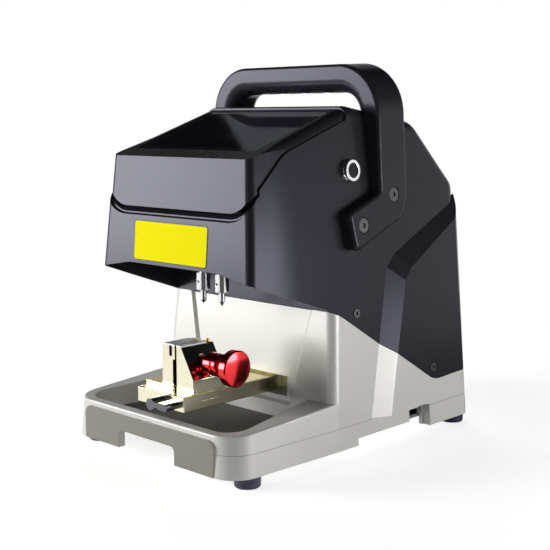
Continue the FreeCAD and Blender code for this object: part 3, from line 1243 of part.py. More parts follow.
def gauge_block():
    """The profiled stop on the bar's front face: a round lobe and a beam, waisted above and below."""
    front = BAR_FRONT_Y - GAUGE_DEPTH
    middle = BAR_MID_Z - GAUGE_DROP
    lobe_x = GAUGE_X - GAUGE_HALF + GAUGE_LOBE_R
    end_x = GAUGE_X + GAUGE_HALF
    low, high = middle - GAUGE_BEAM_HALF, middle + GAUGE_BEAM_HALF
    lobe = rod("y", (lobe_x, 0.0, middle), GAUGE_LOBE_R, front, BAR_FRONT_Y)
    beam = prism("xz", [(lobe_x, low), (end_x, low, GAUGE_END_R), (end_x, high, GAUGE_END_R), (lobe_x, high)],
                 front, BAR_FRONT_Y)
    waists = [rod("y", (lobe_x + GAUGE_ARCH_X, 0.0, z), GAUGE_ARCH_R, front - 1.0, BAR_FRONT_Y + 1.0)
              for z in (low - 0.4 * GAUGE_ARCH_R, high + 0.6 * GAUGE_ARCH_R)]
    return fuse([lobe, beam]).cut(Part.Compound(waists))


# Vertical axis and spindles


def z_frame():
    """The cast frame in the column: two cheeks on the bottom plate, a deck, an upright and its lugs."""
    rear = UPRIGHT_Y + UPRIGHT_T
    cheek = box(CHEEK_IN, CHEEK_IN + CHEEK_T, CHEEK_FRONT_Y, CHEEK_REAR_Y, PLATE_TOP_Z, DECK_Z)
    deck = box(-CHEEK_IN - CHEEK_T, CHEEK_IN + CHEEK_T, UPRIGHT_Y, CHEEK_REAR_Y, DECK_Z, DECK_TOP_Z)
    upright = box(-UPRIGHT_HALF, UPRIGHT_HALF, UPRIGHT_Y, rear, DECK_Z, ROD_TOP_Z)
    window = box(-FRAME_WINDOW_HALF, FRAME_WINDOW_HALF, UPRIGHT_Y - 1.0, rear + 1.0,
                 LUG_Z + LUG_T + FRAME_WINDOW_LOW, FRAME_TOP_Z - FRAME_WINDOW_HIGH)
    lug = box(-UPRIGHT_HALF, UPRIGHT_HALF, COLUMN_INNER_Y + 1.0, UPRIGHT_Y + 1.0, LUG_Z, LUG_Z + LUG_T)
    top = box(-UPRIGHT_HALF, UPRIGHT_HALF, FRAME_TOP_FRONT_Y, UPRIGHT_Y + 1.0, FRAME_TOP_Z, ROD_TOP_Z)
    rib = prism("yz", [(rear - 1.0, DECK_TOP_Z - 1.0), (CHEEK_REAR_Y - FRAME_RIB_REAR, DECK_TOP_Z - 1.0),
                       (rear - 1.0, FRAME_RIB_Z)], UPRIGHT_HALF - CHEEK_T, UPRIGHT_HALF)
    frame = fuse([deck, upright, lug, top] + both_sides(cheek) + both_sides(rib)).cut(window)
    holes = [rod("z", (x, Z_ROD_Y, 0.0), Z_ROD_R + SEAT_FIT, 0.0, FAR) for x in (-Z_ROD_X, Z_ROD_X)]
    holes.append(rod("z", (0.0, Z_ROD_Y, 0.0), Z_SCREW_R + RUN_FIT, 0.0, FAR))
    return frame.cut(Part.Compound(holes))


def z_drive():
    """Guide rods, lead screw, motor and nut of the vertical axis."""
    rods = [rod("z", (x, Z_ROD_Y, 0.0), Z_ROD_R, LUG_Z, ROD_TOP_Z) for x in (-Z_ROD_X, Z_ROD_X)]
    point = (0.0, Z_ROD_Y, 0.0)
    screw_top = ROD_TOP_Z + Z_MOTOR_L / 2
    screw = rod("z", point, Z_SCREW_R, LUG_Z, screw_top)
    motor = motor_block(MOTOR_SIDE, Z_MOTOR_L)
    motor.translate(V(0.0, Z_ROD_Y, ROD_TOP_Z))
    motor = motor.cut(rod("z", point, Z_SCREW_R + RUN_FIT, ROD_TOP_Z - 1.0, screw_top + SLIDE_GAP))
    nut = rod("z", point, NUT_R, ARM_Z + FACE_GAP, ARM_Z + NUT_L)
    nut = nut.cut(rod("z", point, Z_SCREW_R + RUN_FIT, 0.0, FAR))
    return rods, screw, motor, nut


def z_carriage():
    """The head's carriage: a boss on the guide rods and an arm that carries the spindles."""
    boss = box(-BOSS_HALF, BOSS_HALF, BOSS_FRONT_Y, BOSS_REAR_Y, ARM_Z, BOSS_TOP_Z)
    arm = prism("xy", [(-ARM_HALF, ARM_FRONT_Y, ARM_CORNER_R), (ARM_HALF, ARM_FRONT_Y, ARM_CORNER_R),
                       (ARM_HALF, BOSS_FRONT_Y + 1.0), (-ARM_HALF, BOSS_FRONT_Y + 1.0)], ARM_Z, ARM_Z + ARM_T)
    holes = [rod("z", (x, Z_ROD_Y, 0.0), Z_ROD_R + RUN_FIT, 0.0, FAR) for x in (-Z_ROD_X, Z_ROD_X)]
    holes.append(rod("z", (0.0, Z_ROD_Y, 0.0), Z_SCREW_R + SHAFT_CLEAR, 0.0, FAR))
    holes.append(rod("z", (0.0, Z_ROD_Y, 0.0), NUT_R + SEAT_FIT, ARM_Z - 1.0, ARM_Z + NUT_L))
    holes.append(rod("z", (CUTTER_X, SPINDLE_Y, 0.0), SHAFT_R + SHAFT_CLEAR, 0.0, FAR))
    return fuse([boss, arm]).cut(Part.Compound(holes))


def spindle():
    """Bearing housing, its two bearings, motor, shaft with chuck, cutter and grub screw."""
    point = (CUTTER_X, SPINDLE_Y, 0.0)
    housing = rod("z", point, HOUSING_R, NOSE_LOW_Z, ARM_Z)
    housing = housing.cut(rod("z", point, SHAFT_R + SHAFT_CLEAR, 0.0, FAR))
    bearings = []
    for low in (NOSE_LOW_Z + BEARING_SET, ARM_Z - BEARING_SET - BEARING_T):
        housing = housing.cut(rod("z", point, BEARING_R + SEAT_FIT, low, low + BEARING_T))
        ring = rod("z", point, BEARING_R, low, low + BEARING_T)
        bearings.append(ring.cut(rod("z", point, SHAFT_R + RUN_FIT, 0.0, FAR)))
    motor_low = ARM_Z + ARM_T
    shaft_top = motor_low + SPINDLE_MOTOR_L / 2
    motor = rod("z", point, SPINDLE_MOTOR_R, motor_low, motor_low + SPINDLE_MOTOR_L)
    motor = motor.cut(rod("z", point, SHAFT_R + RUN_FIT, motor_low - 1.0, shaft_top + SLIDE_GAP))
    shaft = rod("z", point, SHAFT_R, CHUCK_TOP_Z, shaft_top)
    return housing, bearings, motor, fuse([shaft, chuck_body(point)]), cutter(point), grub_screw(point)


def chuck_body(point):
    x, y, _ = point
    edge = CHUCK_CHAMFER
    body = turned("z", point, [(CHUCK_LOW_Z, 0.0), (CHUCK_LOW_Z, CHUCK_R - edge),
                               (CHUCK_LOW_Z + edge, CHUCK_R), (CHUCK_TOP_Z, CHUCK_R), (CHUCK_TOP_Z, 0.0)])
    bore = rod("z", point, BIT_R + SEAT_FIT, 0.0, CHUCK_TOP_Z - CHUCK_ROOF)
    grub_hole = rod("y", (x, 0.0, CHUCK_LOW_Z + GRUB_RISE), GRUB_R + SCREW_FIT, y - CHUCK_R - 1.0, y)
    return body.cut(Part.Compound([bore, grub_hole]))


def grub_screw(point):
    x, y, _ = point
    start, end = y - CHUCK_R + GRUB_SINK, y - BIT_R - FACE_GAP
    return rod("y", (x, 0.0, CHUCK_LOW_Z + GRUB_RISE), GRUB_R, start, end)


def cutter(point):
    """A cutter with a short drill point and two flutes."""
    x, y, _ = point
    top = CHUCK_TOP_Z - CHUCK_ROOF - FACE_GAP
    cone = BIT_TIP_Z + BIT_CONE
    bit = turned("z", point, [(BIT_TIP_Z, 0.0), (cone, 0.85 * BIT_R), (cone + 0.5, BIT_R),
                              (top, BIT_R), (top, 0.0)])
    flutes = [rod("z", (x + dx, y, 0.0), FLUTE_R, BIT_TIP_Z - 1.0, BIT_TIP_Z + FLUTE_L)
              for dx in (-BIT_R, BIT_R)]
    return bit.cut(Part.Compound(flutes))


def tracer():
    """Guide housing, spring-loaded chuck stem, probe and grub screw beside the spindle."""
    point = (PROBE_X, SPINDLE_Y, 0.0)
    stem_top = ARM_Z - TRACER_STEM_DROP
    bore_top = stem_top + TRACER_TRAVEL + SHAFT_CLEAR
    housing = rod("z", point, TRACER_R, NOSE_LOW_Z, ARM_Z)
    housing = housing.cut(rod("z", point, TRACER_STEM_R + RUN_FIT, 0.0, bore_top))
    stem = rod("z", point, TRACER_STEM_R, CHUCK_TOP_Z, stem_top)
    top = CHUCK_TOP_Z - CHUCK_ROOF - FACE_GAP
    probe = turned("z", point, [(BIT_TIP_Z, 0.0), (BIT_TIP_Z + PROBE_TIP_H, PROBE_TIP_R),
                                (BIT_TIP_Z + PROBE_CONE, BIT_R), (top, BIT_R), (top, 0.0)])
    return housing, fuse([stem, chuck_body(point)]), probe, grub_screw(point)


def control_board():
    """The controller on four posts above the bottom plate."""
    low = PLATE_TOP_Z + BOARD_RISE
    high = low + BOARD_T
    rear = REAR_Y - BOARD_SET
    front = rear - BOARD_LENGTH
    board = box(-BOARD_HALF, BOARD_HALF, front, rear, low, high)
    posts = [rod("z", (x, y, 0.0), BOARD_POST_R, PLATE_TOP_Z, low)
             for x in (BOARD_POST_IN - BOARD_HALF, BOARD_HALF - BOARD_POST_IN)
             for y in (front + BOARD_POST_IN, rear - BOARD_POST_IN)]
    middle = (front + rear) / 2
    side, height = CHIP
    chip = box(-side / 2, side / 2, middle - side / 2, middle + side / 2, high, high + height)
    width, depth, height = HEAT_SINK
    sink_left = BOARD_POST_IN - BOARD_HALF
    sink = box(sink_left, sink_left + width, middle - depth / 2, middle + depth / 2, high, high + height)
    radius, height, pitch = CAPACITOR
    cap_x, cap_y = BOARD_HALF / 3, rear - 3 * radius
    caps = [rod("z", (cap_x + i * pitch, cap_y, 0.0), radius, high, high + height) for i in range(3)]
    return fuse([board, chip, sink] + posts + caps)


def main():
    os.makedirs("parts", exist_ok=True)
    save("base_casting", base_casting())
    rubber, foot_bolts = feet()
    save("rubber_feet", *rubber)
    save("foot_screws", *foot_bolts)
    save("bottom_plate", bottom_plate())
    save("main_cover", main_cover())
    save("screen_housing", screen_housing())
    save("screen_glass", glass_plate(0.0, -GLASS_T, 0.0))
    save("display_panel", glass_plate(-DISPLAY_MARGIN, -GLASS_T - DISPLAY_T, -GLASS_T - FACE_GAP))
    save("carry_handle", carry_handle())
    save("handle_screws", *handle_screws())
    save("cover_screws", *cover_screws())
    body, nut, cap = button()
    save("button_body", body)
    save("button_nut", nut)
    save("button_cap", cap)
    save("power_inlet", power_inlet())
    save("control_board", control_board())

    rods, blocks, screw, motor = x_axis()
    save("x_guide_rods", *rods)
    save("x_end_blocks", *blocks)
    save("x_lead_screw", screw)
    save("x_motor", motor)
    saddle, nut, shield = x_carriage()
    save("x_carriage", saddle)
    save("x_nut", nut)
    save("window_shield", shield)

    bracket, motor, screw, nut = y_drive()
    save("y_motor_bracket", bracket)
    save("y_motor", motor)
    save("y_lead_screw", screw)
    save("y_nut", nut)
    save("vise_bar", vise_bar())
    save("fixed_jaw", fixed_jaw())
    save("moving_jaw", moving_jaw())
    fixed_plate, moving_plate, pin = jaw_plates()
    save("fixed_jaw_plate", fixed_plate)
    save("moving_jaw_plate", moving_plate)
    save("key_stop_pin", pin)
    screw, knob = clamp()
    save("clamp_screw", screw)
    save("clamp_knob", knob)
    save("gauge_block", gauge_block())

    save("z_frame", z_frame())
    rods, screw, motor, nut = z_drive()
    save("z_guide_rods", *rods)
    save("z_lead_screw", screw)
    save("z_motor", motor)
    save("z_nut", nut)
    save("z_carriage", z_carriage())
    housing, bearings, motor, shaft, bit, grub = spindle()
    save("spindle_housing", housing)
    save("spindle_bearings", *bearings)
    save("spindle_motor", motor)
    save("spindle_shaft", shaft)
    save("cutter_bit", bit)
    save("cutter_grub_screw", grub)
    housing, stem, probe, grub = tracer()
    save("tracer_housing", housing)
    save("tracer_stem", stem)
    save("tracer_probe", probe)
    save("tracer_grub_screw", grub)


main()
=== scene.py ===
import json
import math

import bmesh
import bpy
from mathutils import Matrix, Vector


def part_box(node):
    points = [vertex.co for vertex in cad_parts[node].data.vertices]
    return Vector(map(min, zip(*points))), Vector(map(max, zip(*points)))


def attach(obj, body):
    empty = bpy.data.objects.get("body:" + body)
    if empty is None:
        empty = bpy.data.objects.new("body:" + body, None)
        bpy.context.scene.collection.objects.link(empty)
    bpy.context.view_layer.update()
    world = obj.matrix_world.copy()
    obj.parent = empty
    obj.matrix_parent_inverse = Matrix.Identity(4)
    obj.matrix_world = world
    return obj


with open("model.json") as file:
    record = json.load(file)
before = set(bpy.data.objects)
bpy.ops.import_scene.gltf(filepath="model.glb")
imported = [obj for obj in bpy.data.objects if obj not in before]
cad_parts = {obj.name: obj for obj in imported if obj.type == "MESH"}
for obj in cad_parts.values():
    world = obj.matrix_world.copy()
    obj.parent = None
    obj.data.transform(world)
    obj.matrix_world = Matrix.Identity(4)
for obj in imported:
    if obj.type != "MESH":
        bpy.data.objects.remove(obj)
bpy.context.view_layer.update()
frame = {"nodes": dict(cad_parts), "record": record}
NODES = frame["nodes"]

# Places on the casting, the glass and the cutter that have a finish of their own or painted shade, in
# metres
PAD_SKIN = 0.0003           # depth of the pad's finish behind the casting's front
TRAY_FLOOR_Z = 0.030
TRAY_SHADE_BAND = 0.0002          # height of the tray floor's painted shade band, above and below it
GLASS_BORDER = 0.008
CUTTER_POINT = 0.0032       # length of the cutter's dark point

# The notice is a blank plate with a dark rim that lies on the head's leaning lower front
HEAD_LIP_Y = -0.131
HEAD_LIP_Z = 0.166
HEAD_LEAN = 0.07            # metres backwards for each metre up
PLATE_X = -0.0035
PLATE_Z = 0.194
PLATE_SIZE = (0.0955, 0.0345)
PLATE_CORNER = 0.0022
PLATE_THICKNESS = 0.0005
PLATE_RIM = 0.0007          # width of the rim round the plate
RIM_THICKNESS = 0.0003
CHAMFER_SHARE = 0.35        # of a plate's thickness
CORNER_STEPS = 6

# Studio
FLOOR_HALF = 30.0
FLOOR_GLOW = 0.70           # added to the floor's own shading where it is seen
FLOOR_FADE = (0.30, 0.75)   # distances from the middle between which the shading fades to plain white
ROOM_LIGHT = 0.20
WALL_TOP = 0.10             # sine of the elevation where the white wall starts to darken
CEILING_FROM = 0.38         # sine of the elevation where it is as dark as the ceiling
CARD_LIFT = 0.0005          # height of the lying cards above the floor
OBJECT_MIDDLE = (0.0, 0.0, 0.20)
SHEEN_HEIGHT = 3.36         # of the far panel that the screen glass mirrors

# Camera, fitted to the straight edges of the object
CAMERA_AT = (0.70855, -0.7412, 0.300)
CAMERA_AZIMUTH = 43.69      # degrees, from the front towards the right
CAMERA_DOWN = 8.16          # degrees
CAMERA_LENS = 70.38
CAMERA_REACH = 100.0
SENSOR = 36.0

# Colours, as linear values
WHITE = (1.0, 1.0, 1.0, 1.0)
FLOOR_WHITE = (0.90, 0.90, 0.90, 1.0)
CEILING = (0.01, 0.01, 0.01, 1.0)
SHEEN_BLUE = (0.82, 0.88, 1.0)
CHARCOAL = (0.019, 0.019, 0.025, 1.0)
SHEEN_TINT = (0.78, 0.78, 1.0, 1.0)
SILVER = (0.63, 0.62, 0.59, 1.0)
PAD_BEIGE = (0.27, 0.26, 0.225, 1.0)
# Painted shade for the tray floor, which is the same silver paint as the rest of the casting
TRAY_SHADE_GREY = (0.21, 0.205, 0.185, 1.0)
NICKEL = (0.72, 0.69, 0.53, 1.0)
NICKEL_EDGE = (0.74, 0.69, 0.48, 1.0)
STEEL = (0.50, 0.50, 0.51, 1.0)
DARK_STEEL = (0.11, 0.11, 0.12, 1.0)
SCREW_GREY = (0.075, 0.075, 0.078, 1.0)
MOTOR_BLACK = (0.03, 0.03, 0.03, 1.0)
CHROME = (0.80, 0.80, 0.82, 1.0)
RED = (0.72, 0.040, 0.046, 1.0)
BRASS = (0.72, 0.52, 0.22, 1.0)
ALUMINIUM = (0.60, 0.60, 0.61, 1.0)
RUBBER = (0.022, 0.022, 0.050, 1.0)
BLACK = (0.012, 0.012, 0.014, 1.0)
GLASS_NAVY = (0.001, 0.001, 0.008, 1.0)
BOARD_GREEN = (0.02, 0.11, 0.045, 1.0)
NOTICE_YELLOW = (0.95, 0.86, 0.002, 1.0)

# Finishes
SOFT_EDGE = 0.0004          # radius that the shading gives to a sharp edge
EDGE_SAMPLES = 6
LEAST_ROUGHNESS = 0.02
CASTING_METAL = 0.12        # share of metal in the silver paint
MATTE = 0.28                # roughness that the pad and the tray's floor add to the paint's
THREAD_DEPTH = 0.0004

# Stretch of a metal's fine lines: none, or long along one axis
NO_LAY = (1.0, 1.0, 1.0)
LAY_X = (0.04, 1.0, 1.0)
LAY_Y = (1.0, 0.04, 1.0)
LAY_Z = (1.0, 1.0, 0.04)
SHANK_LAY = (1.0, 1.0, 0.05)

# Facts about shader nodes
NOISE_RANGE = (0.3, 0.7)            # where nearly all of a noise texture's values lie
WAVE_PERIOD = math.pi / 10.0        # length of one wave at a scale of 1
MIX_FIRST = 6                       # a Mix node's colour sockets, by number because their names repeat
MIX_SECOND = 7
MIX_RESULT = 2


def add_object(name, data):
    thing = bpy.data.objects.new(name, data)
    bpy.context.scene.collection.objects.link(thing)
    return thing


class Nodes:
    """Short ways to add nodes to a material's or a world's tree."""

    def __init__(self, tree):
        self.tree = tree

    def node(self, kind, **settings):
        node = self.tree.nodes.new("ShaderNode" + kind)
        for key, value in settings.items():
            setattr(node, key, value)
        return node

    def link(self, source, target):
        self.tree.links.new(source, target)

    def ramp(self, value, limits, low_colour, high_colour):
        ramp = self.node("ValToRGB")
        for element, limit, colour in zip(ramp.color_ramp.elements, limits, (low_colour, high_colour)):
            element.position = limit
            element.color = colour
        self.link(value, ramp.inputs["Fac"])
        return ramp.outputs["Color"]

    def mix_shaders(self, factor, first, second):
        mix = self.node("MixShader")
        self.link(factor, mix.inputs["Fac"])
        self.link(first, mix.inputs[1])
        self.link(second, mix.inputs[2])
        return mix.outputs["Shader"]

    def combine(self, operation, first, second):
        """A Math node over two values; each is a socket or a number."""
        node = self.node("Math", operation=operation)
        for socket, value in zip(node.inputs, (first, second)):
            if isinstance(value, float):
                socket.default_value = value
            else:
                self.link(value, socket)
        return node.outputs["Value"]

    def map_range(self, value, source, target=(0.0, 1.0), **settings):
        """A value carried from one range to another."""
        node = self.node("MapRange", **settings)
        names = ("From Min", "From Max", "To Min", "To Max")
        for name, limit in zip(names, (*source, *target)):
            node.inputs[name].default_value = limit
        self.link(value, node.inputs["Value"])
        return node.outputs["Result"]

    def seen_ray(self):
        """1 for a ray from the camera or from a mirror or glass."""
        path = self.node("LightPath").outputs
        mirrored = self.combine("MAXIMUM", path["Is Glossy Ray"], path["Is Transmission Ray"])
        return self.combine("MAXIMUM", path["Is Camera Ray"], mirrored)


class Material(Nodes):
    """A node material around one Principled shader, with short ways to add detail to it."""

    def __init__(self, name, colour, metallic, roughness):
        self.mat = bpy.data.materials.new(name)
        self.mat.use_nodes = True
        super().__init__(self.mat.node_tree)
        self.shader = self.tree.nodes["Principled BSDF"]
        self.shader.inputs["Metallic"].default_value = metallic
        self.shader.inputs["Roughness"].default_value = roughness
        self.shader.inputs["Base Color"].default_value = colour
        self.colour = colour
        self.roughness = roughness
        self.coords = self.node("TexCoord").outputs["Object"]
        self.colour_socket = None
        self.normal = None

    def set_specular(self, level):
        self.shader.inputs["Specular IOR Level"].default_value = level

    def set_tint(self, colour):
        self.shader.inputs["Specular Tint"].default_value = colour

    def set_colour(self, socket):
        self.link(socket, self.shader.inputs["Base Color"])
        self.colour_socket = socket

    def set_normal(self, socket):
        self.link(socket, self.shader.inputs["Normal"])
        self.normal = socket

    def noise(self, scale, detail=3.0, stretch=NO_LAY):
        """Noise in the object's own space; scale is in features per metre."""
        mapping = self.node("Mapping")
        mapping.inputs["Scale"].default_value = stretch
        self.link(self.coords, mapping.inputs["Vector"])
        noise = self.node("TexNoise")
        noise.inputs["Scale"].default_value = scale
        noise.inputs["Detail"].default_value = detail
        self.link(mapping.outputs["Vector"], noise.inputs["Vector"])
        return noise.outputs["Fac"]

    def waves(self, axis, pitch):
        """Rings or threads along an axis, one per pitch."""
        wave = self.node("TexWave", wave_type="BANDS", bands_direction=axis, wave_profile="SIN")
        wave.inputs["Scale"].default_value = WAVE_PERIOD / pitch
        self.link(self.coords, wave.inputs["Vector"])
        return wave.outputs["Fac"]

    def paint(self, mask, colour):
        """Lays another colour over the one so far, where a mask is 1."""
        mix = self.node("Mix", data_type="RGBA")
        self.link(mask, mix.inputs["Factor"])
        mix.inputs[MIX_FIRST].default_value = self.colour
        mix.inputs[MIX_SECOND].default_value = colour
        if self.colour_socket is not None:
            self.link(self.colour_socket, mix.inputs[MIX_FIRST])
        self.set_colour(mix.outputs[MIX_RESULT])

    def vary_colour(self, value, amount):
        """Shades the base colour a little lighter and darker by a texture."""
        dark = tuple(c * (1.0 - amount) for c in self.colour[:3]) + (1.0,)
        light = tuple(min(1.0, c * (1.0 + amount)) for c in self.colour[:3]) + (1.0,)
        self.set_colour(self.ramp(value, NOISE_RANGE, dark, light))

    def vary_roughness(self, value, amount):
        """Makes the surface a little smoother and rougher by a texture."""
        limits = (max(LEAST_ROUGHNESS, self.roughness - amount), self.roughness + amount)
        self.rough_socket = self.map_range(value, NOISE_RANGE, limits)
        self.link(self.rough_socket, self.shader.inputs["Roughness"])

    def soft_edges(self, radius=SOFT_EDGE):
        """Rounds sharp edges in the shading, as a moulding or a machined part has them."""
        bevel = self.node("Bevel", samples=EDGE_SAMPLES)
        bevel.inputs["Radius"].default_value = radius
        self.set_normal(bevel.outputs["Normal"])

    def bump(self, value, depth):
        bump = self.node("Bump")
        bump.inputs["Distance"].default_value = depth
        self.link(value, bump.inputs["Height"])
        if self.normal is not None:
            self.link(self.normal, bump.inputs["Normal"])
        self.set_normal(bump.outputs["Normal"])

    def coordinate(self, axis):
        split = self.node("SeparateXYZ")
        self.link(self.coords, split.inputs["Vector"])
        return split.outputs[axis]

    def within(self, axis, low, high):
        """1 where a place along an axis lies between two limits."""
        place = self.coordinate(axis)
        over = self.combine("GREATER_THAN", place, low)
        return self.combine("MULTIPLY", over, self.combine("LESS_THAN", place, high))

    def below(self, axis, limit):
        """1 where a place along an axis lies below a limit."""
        return self.combine("LESS_THAN", self.coordinate(axis), limit)


# Materials


def moulded(name, colour, roughness=0.25, grain=0.000016):
    """Fine-textured moulded plastic."""
    m = Material(name, colour, metallic=0.0, roughness=roughness)
    m.set_specular(0.16)
    m.set_tint(SHEEN_TINT)
    m.soft_edges()
    m.vary_colour(m.noise(scale=1600.0, detail=2.0), amount=0.22)
    m.vary_roughness(m.noise(scale=900.0), amount=0.03)
    m.bump(m.noise(scale=1900.0, detail=2.0), depth=grain)
    return m.mat


def brushed(name, colour, roughness, lay, edge=SOFT_EDGE, grain=0.00001, edge_tint=WHITE):
    """Machined metal with a fine lay along one direction."""
    m = Material(name, colour, metallic=1.0, roughness=roughness)
    m.set_tint(edge_tint)
    m.soft_edges(edge)
    lines = m.noise(scale=2400.0, stretch=lay)
    m.vary_colour(lines, amount=0.05)
    m.vary_roughness(lines, amount=0.03)
    m.bump(lines, depth=grain)
    return m.mat


def turned(name, colour, roughness, axis, pitch, depth):
    """Turned or threaded metal: rings of one pitch along an axis."""
    m = Material(name, colour, metallic=1.0, roughness=roughness)
    m.soft_edges()
    m.vary_colour(m.noise(scale=160.0), amount=0.05)
    m.vary_roughness(m.noise(scale=300.0), amount=0.02)
    m.bump(m.waves(axis, pitch), depth)
    return m.mat


def casting():
    """Satin silver paint, with painted shade in grey on the tray floor and a beige pad on the tray's
    front, both matte.
    """
    m = Material("casting_silver", SILVER, metallic=CASTING_METAL, roughness=0.34)
    m.set_specular(0.22)
    m.vary_colour(m.noise(scale=2200.0, detail=2.0), amount=0.04)
    m.vary_roughness(m.noise(scale=60.0, detail=4.0), amount=0.03)
    low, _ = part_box("base_casting")
    # Painted shade: the band at the tray floor's height is darkened to grey, where the rim shades the
    # floor
    tray = m.within("Z", TRAY_FLOOR_Z - TRAY_SHADE_BAND, TRAY_FLOOR_Z + TRAY_SHADE_BAND)
    m.paint(tray, TRAY_SHADE_GREY)
    pad = m.below("Y", low.y + PAD_SKIN)
    m.paint(pad, PAD_BEIGE)
    matte = m.combine("MAXIMUM", pad, tray)
    lost_metal = m.combine("MULTIPLY", matte, CASTING_METAL)
    m.link(m.combine("SUBTRACT", CASTING_METAL, lost_metal), m.shader.inputs["Metallic"])
    rough = m.combine("ADD", m.rough_socket, m.combine("MULTIPLY", matte, MATTE))
    m.link(rough, m.shader.inputs["Roughness"])
    m.bump(m.noise(scale=1500.0, detail=2.0), depth=0.00001)
    return m.mat


def glass():
    """Screen glass: a navy display inside a black border."""
    m = Material("screen_glass", BLACK, metallic=0.0, roughness=0.06)
    m.set_specular(0.30)
    m.vary_roughness(m.noise(scale=25.0), amount=0.02)
    low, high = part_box("screen_glass")
    across = m.within("X", low.x + GLASS_BORDER, high.x - GLASS_BORDER)
    along = m.within("Y", low.y + GLASS_BORDER, high.y - GLASS_BORDER)
    m.paint(m.combine("MULTIPLY", across, along), GLASS_NAVY)
    return m.mat


def rubber():
    m = Material("foot_rubber", RUBBER, metallic=0.0, roughness=0.50)
    m.soft_edges(radius=0.0006)
    m.vary_colour(m.noise(scale=400.0), amount=0.12)
    m.bump(m.noise(scale=1200.0, detail=2.0), depth=0.00004)
    return m.mat


def board():
    m = Material("circuit_board", BOARD_GREEN, metallic=0.0, roughness=0.38)
    m.vary_colour(m.noise(scale=220.0, detail=4.0), amount=0.25)
    m.bump(m.noise(scale=700.0, detail=2.0), depth=0.00006)
    return m.mat


def notice_yellow():
    m = Material("notice_yellow", NOTICE_YELLOW, metallic=0.0, roughness=0.60)
    m.set_specular(0.02)
    m.vary_colour(m.noise(scale=600.0, detail=2.0), amount=0.03)
    m.vary_roughness(m.noise(scale=90.0), amount=0.05)
    return m.mat


def cutter_steel():
    """A bright shank that ends in a dark ground point."""
    m = Material("cutter_steel", CHROME, metallic=1.0, roughness=0.16)
    low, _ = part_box("cutter_bit")
    m.vary_colour(m.noise(scale=1800.0, stretch=SHANK_LAY), amount=0.05)
    m.paint(m.below("Z", low.z + CUTTER_POINT), DARK_STEEL)
    m.vary_roughness(m.noise(scale=900.0), amount=0.03)
    return m.mat


SLOT_MATERIALS = {
    "casting": casting(),
    "cover_plastic": moulded("cover_plastic", CHARCOAL),
    "handle_plastic": moulded("handle_plastic", CHARCOAL),
    "screen_glass": glass(),
    "foot_rubber": rubber(),
    "board": board(),
    "black_plastic": moulded("black_plastic", BLACK, roughness=0.32, grain=0.00003),
    "plate_steel": brushed("plate_steel", STEEL, roughness=0.30, lay=LAY_Y),
    "screw_steel": brushed("screw_steel", SCREW_GREY, roughness=0.40, lay=NO_LAY),
    "bright_steel": brushed("bright_steel", CHROME, roughness=0.14, lay=LAY_Z),
    "dark_steel": brushed("dark_steel", DARK_STEEL, roughness=0.30, lay=LAY_X),
    "bracket_aluminium": brushed("bracket_aluminium", ALUMINIUM, roughness=0.34, lay=LAY_X),
    "motor_steel": moulded("motor_steel", MOTOR_BLACK, roughness=0.40),
    "vise_metal": brushed("vise_metal", NICKEL, roughness=0.16, lay=LAY_X, edge=0.0002, grain=0.000004,
                          edge_tint=NICKEL_EDGE),
    "brass": brushed("brass", BRASS, roughness=0.26, lay=NO_LAY),
    "red_anodised": turned("red_anodised", RED, roughness=0.14, axis="X", pitch=0.0009, depth=0.000005),
}

# Axis and pitch of each threaded piece
THREADS = {
    "x_lead_screw": ("X", 0.002),
    "y_lead_screw": ("Y", 0.002),
    "z_lead_screw": ("Z", 0.002),
    "clamp_screw": ("X", 0.0015),
}


def thread(node):
    axis, pitch = THREADS[node]
    return turned(node + "_thread", CHROME, roughness=0.22, axis=axis, pitch=pitch, depth=THREAD_DEPTH)


def dress(node, material):
    mesh = NODES[node].data
    mesh.materials.clear()
    mesh.materials.append(material)


for part in frame["record"]["subparts"]:
    dress(part["node"], SLOT_MATERIALS[part["material_slot"]])
for node in THREADS:
    dress(node, thread(node))
dress("cutter_bit", cutter_steel())
dress("tracer_probe", SLOT_MATERIALS["bright_steel"])


# Pieces that ride on the frame


def rounded_outline(width, height, corner):
    """The points round a rectangle with rounded corners, about the origin."""
    points = []
    for side_x, side_y, start in ((1, 1, 0), (-1, 1, 90), (-1, -1, 180), (1, -1, 270)):
        for step in range(CORNER_STEPS + 1):
            angle = math.radians(start + step * 90 / CORNER_STEPS)
            points.append((side_x * (width / 2 - corner) + corner * math.cos(angle),
                           side_y * (height / 2 - corner) + corner * math.sin(angle)))
    return points


def rounded_plate(name, width, height, thickness, corner, place):
    """The mesh of a thin plate with rounded corners and a chamfered rim, facing a placement's +Z."""
    shape = bmesh.new()
    points = rounded_outline(width, height, corner)
    chamfer = thickness * CHAMFER_SHARE
    loops = []
    for z, inset in ((0.0, 0.0), (thickness - chamfer, 0.0), (thickness, chamfer)):
        scale_x, scale_y = 1 - 2 * inset / width, 1 - 2 * inset / height
        loops.append([shape.verts.new((x * scale_x, y * scale_y, z)) for x, y in points])
    count = len(points)
    for lower, upper in zip(loops, loops[1:]):
        for i in range(count):
            after = (i + 1) % count
            shape.faces.new((lower[i], lower[after], upper[after], upper[i]))
    shape.faces.new(loops[-1])
    shape.faces.new(list(reversed(loops[0])))
    shape.transform(place)
    mesh = bpy.data.meshes.new(name)
    shape.to_mesh(mesh)
    shape.free()
    return mesh


def on_head_front(x, z):
    """A placement on the head's front whose Z axis is the outward normal and Y axis runs up the face."""
    normal = Vector((0.0, -1.0, HEAD_LEAN)).normalized()
    up = Vector((0.0, HEAD_LEAN, 1.0)).normalized()
    right = up.cross(normal)
    at = Vector((x, HEAD_LIP_Y + HEAD_LEAN * (z - HEAD_LIP_Z), z))
    return Matrix.Translation(at) @ Matrix((right, up, normal)).transposed().to_4x4()


